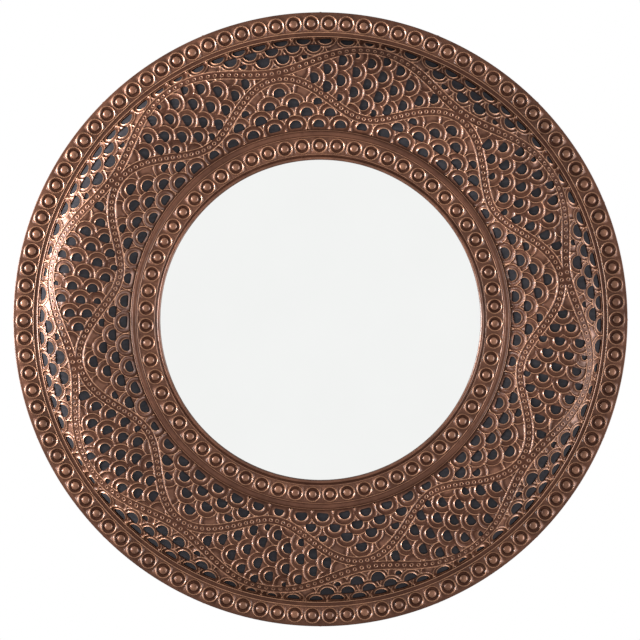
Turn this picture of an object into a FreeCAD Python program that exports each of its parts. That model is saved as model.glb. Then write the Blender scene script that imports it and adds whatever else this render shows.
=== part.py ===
import FreeCAD, Part
import math
import os
import Sketcher

# Round accent mirror: a pierced and embossed copper-finish sheet over a domed wooden ring,
# with a beaded trim ring at each edge, a round mirror in the middle and two D-ring hangers.
# It is built lying on its back (Z toward the viewer) and stood up at the end (front to -Y).

Vector = FreeCAD.Vector
doc = FreeCAD.newDocument("accent_mirror")
sheet = doc.addObject("Spreadsheet::Sheet", "sizes")

DRIVING_SIZES = (
    ("frame_radius", "405"),
    ("opening_radius", "211"),
    ("sheet_wall", "1.0"),
    ("overrun", "4"),
    # depth stack, from the wall to the front
    ("wall_gap", "7"),
    ("board_wall", "9"),
    ("pad_wall", "1"),
    ("glass_wall", "4"),
    ("cushion_wall", "2"),
    ("crown_rise", "26"),
    ("sheet_gap", "0.3"),
    # outer bead ring
    ("edge_margin", "3.7"),
    ("edge_round", "1.6"),
    ("skirt_gap", "0.5"),
    ("outer_bead_radius", "10.8"),
    ("outer_bead_pitch", "23.1"),
    ("outer_rib_half", "3.6"),
    ("outer_rib_rise", "1.2"),
    # inner bead ring
    ("lip_width", "4.4"),
    ("lip_rise", "1.6"),
    ("lip_gap", "0.5"),
    ("inner_bead_radius", "10.4"),
    ("inner_bead_pitch", "22.7"),
    ("inner_rib_half", "5"),
    ("inner_rib_rise", "2.2"),
    ("inner_margin", "4"),
    ("rib_gap", "0.3"),
    ("bead_rise", "1.8"),
    # pierced band
    ("lens_hole_radius", "7.3"),
    ("lens_hole_back", "4.0"),
    ("outer_hole_radius", "9.0"),
    ("outer_hole_back", "4.4"),
    ("inner_hole_radius", "7.8"),
    ("inner_hole_back", "4.0"),
    ("lens_row_pitch", "27.5"),
    ("strap_half", "5.5"),
    # mirror and its seat
    ("glass_overlap", "11"),
    ("glass_gap", "1.2"),
    ("glass_arris", "0.6"),
    ("cushion_inset", "1"),
    ("pad_radius", "14"),
    ("pad_circle", "150"),
    # fixings
    ("fit_gap", "0.05"),
    ("nail_radius", "0.7"),
    ("nail_length", "16"),
    ("nail_head_radius", "2.2"),
    ("nail_head_rise", "0.8"),
    ("core_screw_radius", "2"),
    ("core_screw_head_radius", "4"),
    ("core_screw_length", "25"),
    ("core_screw_circle", "300"),
    # hangers
    ("hanger_spread", "170"),
    ("hanger_level", "190"),
    ("strap_wall", "1.2"),
    ("strap_width", "16"),
    ("strap_length", "51"),
    ("strap_tail", "2"),
    ("wire_radius", "1.5"),
    ("wire_gap", "0.4"),
    ("ring_side_gap", "1"),
    ("ring_corner", "3"),
    ("ring_side", "5"),
    ("hanger_screw_radius", "1.6"),
    ("hanger_screw_head_radius", "3.4"),
    ("hanger_screw_head_rise", "1.8"),
    ("hanger_screw_length", "8"),
    ("hanger_screw_first", "28"),
    ("hanger_screw_pitch", "15"),
    # wall bumpers
    ("bumper_radius", "10"),
    ("bumper_tip_radius", "8"),
    ("bumper_circle", "370"),
)
for row, (alias, number) in enumerate(DRIVING_SIZES, start=1):
    sheet.set("A%d" % row, alias)
    sheet.set("B%d" % row, number)
    sheet.setAlias("B%d" % row, alias)
doc.recompute()

# Counts, angles in degrees and shares of the sizes they follow
UNITS = 8
UNIT_ANGLE = 360 / UNITS
KISS_ANGLE = 10.3
NAILS = 16
PADS = 8
BUMPERS = 4
CORE_SCREWS = 8
PUNCH_SIDES = 6
CROWN_SHARE = 0.642
OUTER_STRAP_SHARES = (0.010, 0.642)
INNER_STRAP_SHARES = (0.099, 0.741)
LENS_MIDDLE_SHARE = 0.165
LENS_COLUMNS = 10
LENS_FIRST_ANGLE = 8.6
LENS_COLUMN_ANGLE = 3.2
LENS_MOVE_SHARE = 0.2
HOLE_LEAST_SHARE = 0.45
OUTER_ROW_SHARES = (0.871, 0.616, 0.361)
OUTER_ROW_COUNT = 10
INNER_ROW_SHARES = (0.905, 0.715, 0.532, 0.342)
INNER_ROW_COUNT = 7
BEAD_PROFILE_SHARES = ((0.40, 1.0), (0.50, 0.08), (0.74, 0.08), (0.90, 0.75), (1.0, 0.0))
BEAD_SINK_SHARE = 0.5

# Places worked out from the sizes, as expressions
BOARD_BACK = "sizes.wall_gap"
BOARD_FRONT = "(%s + sizes.board_wall)" % BOARD_BACK
BOARD_RADIUS = "(sizes.frame_radius - sizes.sheet_wall - sizes.skirt_gap)"
FLANGE_FRONT = "(%s + sizes.sheet_wall)" % BOARD_FRONT
BRIM_FRONT = "(%s + sizes.sheet_wall)" % FLANGE_FRONT
GLASS_BACK = "(%s + sizes.pad_wall)" % BOARD_FRONT
GLASS_FRONT = "(%s + sizes.glass_wall)" % GLASS_BACK
SEAT_BACK = "(%s + sizes.cushion_wall)" % GLASS_FRONT
SEAT_FRONT = "(%s + sizes.sheet_wall)" % SEAT_BACK
INNER_FRONT = "(%s + sizes.sheet_wall)" % SEAT_FRONT
CROWN_FRONT = "(%s + sizes.crown_rise)" % FLANGE_FRONT
GLASS_RADIUS = "(sizes.opening_radius + sizes.glass_overlap)"
CORE_BORE = "(%s + sizes.glass_gap)" % GLASS_RADIUS
OUTER_BEADS = "(sizes.frame_radius - sizes.edge_margin - sizes.outer_bead_radius)"
OUTER_RIB = "(%s - sizes.outer_bead_radius - sizes.rib_gap - sizes.outer_rib_half)" % OUTER_BEADS
OUTER_FOOT = "(%s - sizes.outer_rib_half - sizes.rib_gap)" % OUTER_RIB
INNER_BEADS = "(sizes.opening_radius + sizes.lip_width + sizes.inner_margin + sizes.inner_bead_radius)"
INNER_RIB = "(%s + sizes.inner_bead_radius + sizes.rib_gap + sizes.inner_rib_half)" % INNER_BEADS
INNER_FOOT = "(%s + sizes.inner_rib_half + sizes.rib_gap)" % INNER_RIB
SHEET_BORE = "(sizes.opening_radius + sizes.sheet_wall + sizes.lip_gap)"
CROWN = "(%s + %s * (%s - %s))" % (INNER_FOOT, CROWN_SHARE, OUTER_FOOT, INNER_FOOT)
OUTER_RUN = "(%s - %s)" % (OUTER_FOOT, CROWN)
INNER_RUN = "(%s - %s)" % (CROWN, INNER_FOOT)
INNER_DROP = "(%s - %s)" % (CROWN_FRONT, SEAT_FRONT)
OUTER_BEND = "((%s^2 + sizes.crown_rise^2) / (2 * sizes.crown_rise))" % OUTER_RUN
INNER_BEND = "((%s^2 + %s^2) / (2 * %s))" % (INNER_RUN, INNER_DROP, INNER_DROP)
OUTER_HEART = "(%s - %s)" % (CROWN_FRONT, OUTER_BEND)
INNER_HEART = "(%s - %s)" % (CROWN_FRONT, INNER_BEND)
NAIL_LEVEL = "(%s + sizes.board_wall / 2)" % BOARD_BACK
STRAP_FACE = "(%s - sizes.strap_wall)" % BOARD_BACK
EYE_RADIUS = "(sizes.wire_radius + sizes.wire_gap)"
CURL_RADIUS = "(%s + sizes.strap_wall)" % EYE_RADIUS
HINGE_LEVEL = "(%s - %s)" % (STRAP_FACE, EYE_RADIUS)
RING_HALF = "(sizes.strap_width / 2 + sizes.ring_side_gap + sizes.ring_corner)"

STAND_UP = FreeCAD.Placement(Vector(0, 0, 0), FreeCAD.Rotation(Vector(1, 0, 0), 90))
nodes = []


def value(expression):
    """Number that an expression of the sheet gives."""
    return float(sheet.evalExpression(expression))


def less(expression, *more):
    return "(%s)" % " - ".join((expression,) + more)


def plus(expression, *more):
    return "(%s)" % " + ".join((expression,) + more)


def bend_point(heart, bend, level):
    """Distance from the crown, along the radius, at which a bend meets a level."""
    return "sqrt(%s^2 - (%s - %s)^2)" % (bend, level, heart)


def new_body(label):
    body = doc.addObject("PartDesign::Body", label)
    body.Label = label
    return body


def origin(body, role):
    return [item for item in body.Origin.OriginFeatures if item.Role == role][0]


def sketch_on(body, name, role, offset=None):
    sketch = body.newObject("Sketcher::SketchObject", name)
    sketch.AttachmentSupport = (origin(body, role), [""])
    sketch.MapMode = "FlatFace"
    if offset:
        sketch.setExpression("AttachmentOffset.Base.z", offset)
    return sketch


def fix_point(sketch, item, end, across, along):
    """Hold one point of a sketch at two expressions of the sheet."""
    for kind, axis, expression in (("DistanceX", -2, across), ("DistanceY", -1, along)):
        if expression == "0":
            sketch.addConstraint(Sketcher.Constraint("PointOnObject", item, end, axis))
        else:
            index = sketch.addConstraint(Sketcher.Constraint(kind, -1, 1, item, end, value(expression)))
            sketch.setExpression("Constraints[%d]" % index, expression)


def draw_outline(sketch, corners, bends=None):
    """Closed outline through corners; bends maps an edge to its radius and turn (1 left, -1 right).

    A bend with no radius is a half circle over its edge.
    """
    bends = bends or {}
    points = [Vector(value(across), value(along), 0) for across, along in corners]
    ends = []
    for index, start in enumerate(points):
        stop = points[(index + 1) % len(points)]
        if index not in bends:
            item = sketch.addGeometry(Part.LineSegment(start, stop), False)
            ends.append((item, 1, 2))
            continue
        radius, turn = bends[index]
        chord = stop - start
        reach = value(radius) if radius else chord.Length / 2
        rise = math.sqrt(max(reach ** 2 - (chord.Length / 2) ** 2, 0))
        side = Vector(-chord.y, chord.x, 0).normalize()
        centre = (start + stop) / 2 + side * (rise * turn)
        first, last = (start, stop) if turn > 0 else (stop, start)
        angles = [math.atan2(point.y - centre.y, point.x - centre.x) for point in (first, last)]
        if angles[1] < angles[0]:
            angles[1] += 2 * math.pi
        circle = Part.Circle(centre, Vector(0, 0, 1), reach)
        item = sketch.addGeometry(Part.ArcOfCircle(circle, angles[0], angles[1]), False)
        ends.append((item, 1, 2) if turn > 0 else (item, 2, 1))
    for index, (item, first, last) in enumerate(ends):
        following = ends[(index + 1) % len(ends)]
        sketch.addConstraint(Sketcher.Constraint("Coincident", item, last, following[0], following[1]))
    for (item, first, last), (across, along) in zip(ends, corners):
        fix_point(sketch, item, first, across, along)
    for index, (radius, turn) in bends.items():
        item = ends[index][0]
        if radius:
            number = sketch.addConstraint(Sketcher.Constraint("Radius", item, value(radius)))
            sketch.setExpression("Constraints[%d]" % number, radius)
            continue
        chord = points[(index + 1) % len(points)] - points[index]
        level = "Horizontal" if abs(chord.x) > abs(chord.y) else "Vertical"
        sketch.addConstraint(Sketcher.Constraint(level, item, 3, item, 1))


def draw_axis(sketch, start, stop):
    """Construction line that a feature turns about."""
    points = [Vector(value(across), value(along), 0) for across, along in (start, stop)]
    item = sketch.addGeometry(Part.LineSegment(points[0], points[1]), True)
    fix_point(sketch, item, 1, *start)
    fix_point(sketch, item, 2, *stop)


def draw_circle(sketch, radius, across="0", along="0"):
    centre = Vector(value(across), value(along), 0)
    item = sketch.addGeometry(Part.Circle(centre, Vector(0, 0, 1), value(radius)), False)
    fix_point(sketch, item, 3, across, along)
    index = sketch.addConstraint(Sketcher.Constraint("Radius", item, value(radius)))
    sketch.setExpression("Constraints[%d]" % index, radius)


def extrude(body, kind, name, sketch, length, reverse=False, middle=False):
    feature = body.newObject("PartDesign::" + kind, name)
    feature.Profile = sketch
    feature.setExpression("Length", length)
    feature.Reversed = reverse
    feature.Midplane = middle
    body.Tip = feature
    return feature


def turn(body, kind, name, sketch, axis="V_Axis", angle=360):
    feature = body.newObject("PartDesign::" + kind, name)
    feature.Profile = sketch
    feature.ReferenceAxis = (sketch, [axis])
    feature.Angle = angle
    body.Tip = feature
    return feature


def repeat_round(body, name, feature, count):
    pattern = body.newObject("PartDesign::PolarPattern", name)
    pattern.Originals = [feature]
    pattern.Axis = (origin(body, "Z_Axis"), [""])
    pattern.Angle = 360
    pattern.Occurrences = count
    body.Tip = pattern
    return pattern


def hand_in(item, label, place=None):
    """Stand a finished sub-part up at its place and list it as a node."""
    item.Label = label
    item.Placement = STAND_UP.multiply(place or FreeCAD.Placement())
    nodes.append(item)


def spin(degrees):
    return FreeCAD.Placement(Vector(0, 0, 0), FreeCAD.Rotation(Vector(0, 0, 1), degrees))


def shift(across, along, up="0"):
    return FreeCAD.Placement(Vector(value(across), value(along), value(up)), FreeCAD.Rotation())


# Back board: a plain disc with blind holes for the nails, the hanger screws and the core screws
board = new_body("back_board")
disc = sketch_on(board, "board_outline", "XY_Plane", BOARD_BACK)
draw_circle(disc, BOARD_RADIUS)
extrude(board, "Pad", "board_disc", disc, "sizes.board_wall")
NAIL_TIP = less("sizes.frame_radius", "sizes.nail_length")
NAIL_HOLE = plus("sizes.nail_radius", "sizes.fit_gap")
drill = sketch_on(board, "board_nail_hole", "YZ_Plane", NAIL_TIP)
draw_circle(drill, NAIL_HOLE, "0", NAIL_LEVEL)
hole = extrude(board, "Pocket", "board_nail_drill", drill, "sizes.nail_length", reverse=True)
repeat_round(board, "board_nail_holes", hole, NAILS)
HANGER_HOLE = plus("sizes.hanger_screw_radius", "sizes.fit_gap")
FIRST_SCREW = less("sizes.hanger_level", "sizes.hanger_screw_first")
LAST_SCREW = less(FIRST_SCREW, "sizes.hanger_screw_pitch")
drill = sketch_on(board, "board_hanger_holes", "XY_Plane", BOARD_BACK)
for side in ("", "-"):
    for level in (FIRST_SCREW, LAST_SCREW):
        draw_circle(drill, HANGER_HOLE, side + "sizes.hanger_spread", level)
HANGER_DEPTH = less("sizes.hanger_screw_length", "sizes.strap_wall", "-sizes.fit_gap")
extrude(board, "Pocket", "board_hanger_drill", drill, HANGER_DEPTH, reverse=True)
CORE_HOLE = plus("sizes.core_screw_radius", "sizes.fit_gap")
CORE_SINK = plus("sizes.core_screw_head_radius", "sizes.fit_gap")
SINK_DEPTH = less("sizes.core_screw_head_radius", "sizes.core_screw_radius")
SINK_LEVEL = plus(BOARD_BACK, SINK_DEPTH)
drill = sketch_on(board, "board_core_hole", "XZ_Plane")
draw_outline(drill, (
    ("sizes.core_screw_circle", BOARD_BACK),
    (plus("sizes.core_screw_circle", CORE_SINK), BOARD_BACK),
    (plus("sizes.core_screw_circle", CORE_HOLE), SINK_LEVEL),
    (plus("sizes.core_screw_circle", CORE_HOLE), BOARD_FRONT),
    ("sizes.core_screw_circle", BOARD_FRONT),
))
draw_axis(drill, ("sizes.core_screw_circle", BOARD_BACK), ("sizes.core_screw_circle", BOARD_FRONT))
hole = turn(board, "Groove", "board_core_drill", drill, "Axis0")
repeat_round(board, "board_core_holes", hole, CORE_SCREWS)

# Domed wooden ring under the pierced sheet, with the mirror's round pocket in its bore
core = new_body("core_ring")
profile = sketch_on(core, "core_section", "XZ_Plane")
CORE_OUTER_BEND = less(OUTER_BEND, "sizes.sheet_wall", "sizes.sheet_gap")
CORE_INNER_BEND = less(INNER_BEND, "sizes.sheet_wall", "sizes.sheet_gap")
CORE_CROWN = less(CROWN_FRONT, "sizes.sheet_wall", "sizes.sheet_gap")
draw_outline(profile, (
    (CORE_BORE, BOARD_FRONT),
    (plus(CROWN, bend_point(OUTER_HEART, CORE_OUTER_BEND, BOARD_FRONT)), BOARD_FRONT),
    (CROWN, CORE_CROWN),
    (less(CROWN, bend_point(INNER_HEART, CORE_INNER_BEND, SEAT_BACK)), SEAT_BACK),
    (CORE_BORE, SEAT_BACK),
), {1: (CORE_OUTER_BEND, 1), 2: (CORE_INNER_BEND, 1)})
turn(core, "Revolution", "core_dome", profile)
drill = sketch_on(core, "core_screw_hole", "XY_Plane", BOARD_FRONT)
draw_circle(drill, CORE_HOLE, "sizes.core_screw_circle", "0")
CORE_DEPTH = less("sizes.core_screw_length", "sizes.board_wall", "-sizes.fit_gap")
hole = extrude(core, "Pocket", "core_screw_drill", drill, CORE_DEPTH, reverse=True)
repeat_round(core, "core_screw_holes", hole, CORE_SCREWS)

# Mirror, with its arrised edges, on round pads, under a soft cushion ring
glass = new_body("mirror_glass")
profile = sketch_on(glass, "glass_section", "XZ_Plane")
draw_outline(profile, (
    ("0", GLASS_BACK),
    (less(GLASS_RADIUS, "sizes.glass_arris"), GLASS_BACK),
    (GLASS_RADIUS, plus(GLASS_BACK, "sizes.glass_arris")),
    (GLASS_RADIUS, less(GLASS_FRONT, "sizes.glass_arris")),
    (less(GLASS_RADIUS, "sizes.glass_arris"), GLASS_FRONT),
    ("0", GLASS_FRONT),
))
turn(glass, "Revolution", "glass_disc", profile)

cushion = new_body("glass_cushion")
ring = sketch_on(cushion, "cushion_outline", "XY_Plane", GLASS_FRONT)
draw_circle(ring, plus(SHEET_BORE, "sizes.cushion_inset"))
draw_circle(ring, less(GLASS_RADIUS, "sizes.cushion_inset"))
extrude(cushion, "Pad", "cushion_ring", ring, "sizes.cushion_wall")

pads = []
for number in range(PADS):
    pad = doc.addObject("Part::Cylinder", "mirror_pad_%d" % (number + 1))
    pad.setExpression("Radius", "sizes.pad_radius")
    pad.setExpression("Height", "sizes.pad_wall")
    pads.append(pad)

# Outer bead ring: flat brim with a pressed rib inside, a skirt round the board and a row of beads
brim = new_body("outer_bead_ring")
profile = sketch_on(brim, "brim_section", "XZ_Plane")
RIB_WALL = "sizes.sheet_wall"
OUTER_RIB_BEND = "((sizes.outer_rib_half^2 + sizes.outer_rib_rise^2) / (2 * sizes.outer_rib_rise))"
OUTER_RIB_HOLLOW = less("sizes.outer_rib_half", RIB_WALL)
OUTER_HOLLOW_BEND = "((%s^2 + sizes.outer_rib_rise^2) / (2 * sizes.outer_rib_rise))" % OUTER_RIB_HOLLOW
SKIRT_INSIDE = less("sizes.frame_radius", "sizes.sheet_wall")
draw_outline(profile, (
    (less(OUTER_RIB, "sizes.outer_rib_half"), FLANGE_FRONT),
    (less(OUTER_RIB, OUTER_RIB_HOLLOW), FLANGE_FRONT),
    (plus(OUTER_RIB, OUTER_RIB_HOLLOW), FLANGE_FRONT),
    (SKIRT_INSIDE, FLANGE_FRONT),
    (SKIRT_INSIDE, BOARD_BACK),
    ("sizes.frame_radius", BOARD_BACK),
    ("sizes.frame_radius", less(BRIM_FRONT, "sizes.edge_round")),
    (less("sizes.frame_radius", "sizes.edge_round"), BRIM_FRONT),
    (plus(OUTER_RIB, "sizes.outer_rib_half"), BRIM_FRONT),
    (less(OUTER_RIB, "sizes.outer_rib_half"), BRIM_FRONT),
), {1: (OUTER_HOLLOW_BEND, -1), 6: ("sizes.edge_round", 1), 8: (OUTER_RIB_BEND, 1)})
turn(brim, "Revolution", "brim_sheet", profile)


def add_beads(body, name, circle, radius, level, count):
    """Row of round beads: a boss in a sunk groove inside a raised rim."""
    sketch = sketch_on(body, name + "_section", "XZ_Plane")
    root = "(%s - %s * sizes.sheet_wall)" % (level, BEAD_SINK_SHARE)
    top = plus(level, "sizes.bead_rise")
    corners = [(circle, root), (plus(circle, radius), root)]
    for along, rise in reversed(BEAD_PROFILE_SHARES):
        corners.append((plus(circle, "%s * %s" % (along, radius)), plus(level, "%s * sizes.bead_rise" % rise)))
    corners.append((circle, top))
    draw_outline(sketch, corners)
    draw_axis(sketch, (circle, root), (circle, top))
    bead = turn(body, "Revolution", name, sketch, "Axis0")
    repeat_round(body, name + "s", bead, count)


def bead_count(circle, pitch):
    return int(2 * math.pi * value(circle) / value(pitch))


OUTER_BEAD_COUNT = bead_count(OUTER_BEADS, "sizes.outer_bead_pitch")
add_beads(brim, "outer_bead", OUTER_BEADS, "sizes.outer_bead_radius", BRIM_FRONT, OUTER_BEAD_COUNT)
drill = sketch_on(brim, "skirt_nail_hole", "YZ_Plane", NAIL_TIP)
draw_circle(drill, NAIL_HOLE, "0", NAIL_LEVEL)
hole = extrude(brim, "Pocket", "skirt_nail_drill", drill, plus("sizes.nail_length", "sizes.overrun"), reverse=True)
repeat_round(brim, "skirt_nail_holes", hole, NAILS)

# Inner bead ring: rolled lip down to the glass, a row of beads and a pressed rib outside
collar = new_body("inner_bead_ring")
profile = sketch_on(collar, "collar_section", "XZ_Plane")
INNER_RIB_BEND = "((sizes.inner_rib_half^2 + sizes.inner_rib_rise^2) / (2 * sizes.inner_rib_rise))"
INNER_RIB_HOLLOW = less("sizes.inner_rib_half", RIB_WALL)
INNER_HOLLOW_BEND = "((%s^2 + sizes.inner_rib_rise^2) / (2 * sizes.inner_rib_rise))" % INNER_RIB_HOLLOW
LIP_BEND = "(((sizes.lip_width / 2)^2 + sizes.lip_rise^2) / (2 * sizes.lip_rise))"
LIP_INSIDE = plus("sizes.opening_radius", "sizes.sheet_wall")
draw_outline(profile, (
    ("sizes.opening_radius", plus(GLASS_FRONT, "sizes.sheet_gap")),
    (LIP_INSIDE, plus(GLASS_FRONT, "sizes.sheet_gap")),
    (LIP_INSIDE, SEAT_FRONT),
    (less(INNER_RIB, INNER_RIB_HOLLOW), SEAT_FRONT),
    (plus(INNER_RIB, INNER_RIB_HOLLOW), SEAT_FRONT),
    (plus(INNER_RIB, "sizes.inner_rib_half"), SEAT_FRONT),
    (plus(INNER_RIB, "sizes.inner_rib_half"), INNER_FRONT),
    (less(INNER_RIB, "sizes.inner_rib_half"), INNER_FRONT),
    (plus("sizes.opening_radius", "sizes.lip_width"), INNER_FRONT),
    ("sizes.opening_radius", INNER_FRONT),
), {3: (INNER_HOLLOW_BEND, -1), 6: (INNER_RIB_BEND, 1), 8: (LIP_BEND, 1)})
turn(collar, "Revolution", "collar_sheet", profile)
INNER_BEAD_COUNT = bead_count(INNER_BEADS, "sizes.inner_bead_pitch")
add_beads(collar, "inner_bead", INNER_BEADS, "sizes.inner_bead_radius", INNER_FRONT, INNER_BEAD_COUNT)

# Pierced band: one of eight like sectors of the domed sheet with its flanges
blank = new_body("band_blank")
profile = sketch_on(blank, "band_section", "XZ_Plane")
UNDER_OUTER_BEND = less(OUTER_BEND, "sizes.sheet_wall")
UNDER_INNER_BEND = less(INNER_BEND, "sizes.sheet_wall")
draw_outline(profile, (
    (BOARD_RADIUS, FLANGE_FRONT),
    (OUTER_FOOT, FLANGE_FRONT),
    (CROWN, CROWN_FRONT),
    (INNER_FOOT, SEAT_FRONT),
    (SHEET_BORE, SEAT_FRONT),
    (SHEET_BORE, SEAT_BACK),
    (less(CROWN, bend_point(INNER_HEART, UNDER_INNER_BEND, SEAT_BACK)), SEAT_BACK),
    (CROWN, less(CROWN_FRONT, "sizes.sheet_wall")),
    (plus(CROWN, bend_point(OUTER_HEART, UNDER_OUTER_BEND, BOARD_FRONT)), BOARD_FRONT),
    (BOARD_RADIUS, BOARD_FRONT),
), {1: (OUTER_BEND, 1), 2: (INNER_BEND, 1), 6: (UNDER_INNER_BEND, -1), 7: (UNDER_OUTER_BEND, -1)})
turn(blank, "Revolution", "band_sheet", profile, angle=UNIT_ANGLE)

# The scale punches: each hole is a D, cut square to the sheet, on rows that follow two wavy
# straps which touch eight times; in the lens between the straps the scales lie along the ring,
# outside the straps they point inward, and inside the straps they point outward.
outer_arc = value("%s * asin(%s / %s) / 1rad" % (OUTER_BEND, OUTER_RUN, OUTER_BEND))
inner_arc = value("%s * asin(%s / %s) / 1rad" % (INNER_BEND, INNER_RUN, INNER_BEND))
strap_half = value("sizes.strap_half")
outer_limits = [share * outer_arc for share in OUTER_STRAP_SHARES]
inner_limits = [-share * inner_arc for share in INNER_STRAP_SHARES]


def sheet_point(along):
    """Radius, level and slope of the sheet's face at a length along it from the crown, outward."""
    bend = value(OUTER_BEND if along >= 0 else INNER_BEND)
    slope = along / bend
    return value(CROWN) + bend * math.sin(slope), value(CROWN_FRONT) - bend * (1 - math.cos(slope)), slope


def strap_line(limits, angle):
    """Place of a strap's centre line at an angle from the kiss, between its two limits, and its stretch."""
    turned = math.radians(UNITS * angle)
    swing = (limits[1] - limits[0]) / 2
    line = (limits[0] + limits[1]) / 2 - swing * math.cos(turned)
    return line, math.hypot(1, swing * UNITS * math.sin(turned) / sheet_point(line)[0])


def lens_places():
    """Scales between the straps, on staggered columns; one near a strap moves off it, and its hole shrinks."""
    places = []
    radius = value("sizes.lens_hole_radius")
    pitch = value("sizes.lens_row_pitch")
    edge = strap_half - value("sizes.sheet_wall")
    most = LENS_MOVE_SHARE * pitch
    for column in range(LENS_COLUMNS):
        angle = LENS_FIRST_ANGLE + LENS_COLUMN_ANGLE * column
        inner, inner_stretch = strap_line(inner_limits, angle)
        outer, outer_stretch = strap_line(outer_limits, angle)
        low = inner + inner_stretch * (edge + radius)
        high = outer - outer_stretch * (edge + radius)
        for row in range(-LENS_COLUMNS, LENS_COLUMNS):
            along = pitch * (row + (column % 2) / 2) - LENS_MIDDLE_SHARE * inner_arc
            aim = (low + high) / 2 if low > high else min(max(along, low), high)
            moved = along + min(max(aim - along, -most), most)
            clear = min((moved - inner) / inner_stretch, (outer - moved) / outer_stretch) - edge
            if clear > HOLE_LEAST_SHARE * radius:
                places.append((angle, moved, "lens", min(radius, clear)))
    return places


def edge_places(shares, arc, limits, count, pointing):
    """Scales outside the straps, on staggered rows; a hole near a strap shrinks to clear it."""
    places = []
    radius = value("sizes." + pointing + "_hole_radius")
    side = math.copysign(1, arc)
    for row, share in enumerate(shares):
        for column in range(count + 1):
            angle = UNIT_ANGLE / count * (column + ((row + 1) % 2) / 2)
            line, stretch = strap_line(limits, angle)
            clear = side * (share * arc - line) / stretch - strap_half - value("sizes.sheet_wall")
            if angle <= UNIT_ANGLE and clear > HOLE_LEAST_SHARE * radius:
                places.append((angle, share * arc, pointing, min(radius, clear)))
    return places


def scale_punch(radius, back, depth):
    """D-shaped punch: a many-sided arc toward +X with its flat side behind, along Z."""
    open_angle = math.acos(-back / radius)
    corners = []
    for step in range(PUNCH_SIDES + 1):
        angle = open_angle * (2 * step / PUNCH_SIDES - 1)
        corners.append(Vector(radius * math.cos(angle), radius * math.sin(angle), -depth))
    outline = Part.makePolygon(corners + corners[:1])
    return Part.Face(outline).extrude(Vector(0, 0, 2 * depth))


def punch_place(angle, along, pointing):
    radius, level, slope = sheet_point(along)
    outward = Vector(math.cos(slope), 0, -math.sin(slope))
    normal = Vector(math.sin(slope), 0, math.cos(slope))
    forward = {"lens": Vector(0, -1, 0), "outer": -outward, "inner": outward}[pointing]
    turned = FreeCAD.Rotation(forward, normal.cross(forward), normal, "ZXY")
    return spin(-angle).multiply(FreeCAD.Placement(Vector(radius, 0, level), turned))


punch_depth = value("sizes.sheet_wall + sizes.overrun")
back_shares = {
    "lens": value("sizes.lens_hole_back / sizes.lens_hole_radius"),
    "outer": value("sizes.outer_hole_back / sizes.outer_hole_radius"),
    "inner": value("sizes.inner_hole_back / sizes.inner_hole_radius"),
}
places = lens_places()
places += edge_places(OUTER_ROW_SHARES, outer_arc, outer_limits, OUTER_ROW_COUNT, "outer")
places += edge_places(INNER_ROW_SHARES, -inner_arc, inner_limits, INNER_ROW_COUNT, "inner")
punches = []
for angle, along, pointing, radius in places:
    punch = scale_punch(radius, back_shares[pointing] * radius, punch_depth)
    punch.Placement = punch_place(angle, along, pointing)
    punches.append(punch)
tools = doc.addObject("Part::Feature", "scale_punches")
tools.Shape = Part.makeCompound(punches)
tools.Placement = spin(UNIT_ANGLE)
sector = doc.addObject("Part::Cut", "band_sector")
sector.Base = blank
sector.Tool = tools
doc.recompute()
sectors = []
for number in range(UNITS):
    copy = sector.Shape.Solids[0].copy()
    copy.Placement = spin(number * UNIT_ANGLE).multiply(copy.Placement)
    sectors.append(copy)
band = doc.addObject("Part::Feature", "pierced_band")
band.Shape = sectors[0].fuse(sectors[1:]).Solids[0]

# Nails round the skirt and screws from the board into the core ring
nails = new_body("skirt_nails")
profile = sketch_on(nails, "nail_section", "XZ_Plane")
NAIL_HEAD = plus("sizes.frame_radius", "sizes.nail_head_rise")
draw_outline(profile, (
    (NAIL_TIP, NAIL_LEVEL),
    (NAIL_HEAD, NAIL_LEVEL),
    (NAIL_HEAD, plus(NAIL_LEVEL, "sizes.nail_head_radius / 2")),
    ("sizes.frame_radius", plus(NAIL_LEVEL, "sizes.nail_head_radius")),
    ("sizes.frame_radius", plus(NAIL_LEVEL, "sizes.nail_radius")),
    (plus(NAIL_TIP, "sizes.nail_head_radius"), plus(NAIL_LEVEL, "sizes.nail_radius")),
))
draw_axis(profile, (NAIL_TIP, NAIL_LEVEL), (NAIL_HEAD, NAIL_LEVEL))
nail = turn(nails, "Revolution", "nail", profile, "Axis0")
repeat_round(nails, "nail_row", nail, NAILS)

core_screws = new_body("core_screws")
profile = sketch_on(core_screws, "core_screw_section", "XZ_Plane")
SCREW_TIP = plus(BOARD_BACK, "sizes.core_screw_length")
SCREW_SIDE = plus("sizes.core_screw_circle", "sizes.core_screw_radius")
draw_outline(profile, (
    ("sizes.core_screw_circle", BOARD_BACK),
    (plus("sizes.core_screw_circle", "sizes.core_screw_head_radius"), BOARD_BACK),
    (SCREW_SIDE, SINK_LEVEL),
    (SCREW_SIDE, less(SCREW_TIP, "sizes.core_screw_radius")),
    ("sizes.core_screw_circle", SCREW_TIP),
))
draw_axis(profile, ("sizes.core_screw_circle", BOARD_BACK), ("sizes.core_screw_circle", SCREW_TIP))
screw = turn(core_screws, "Revolution", "core_screw", profile, "Axis0")
repeat_round(core_screws, "core_screw_row", screw, CORE_SCREWS)

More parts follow.
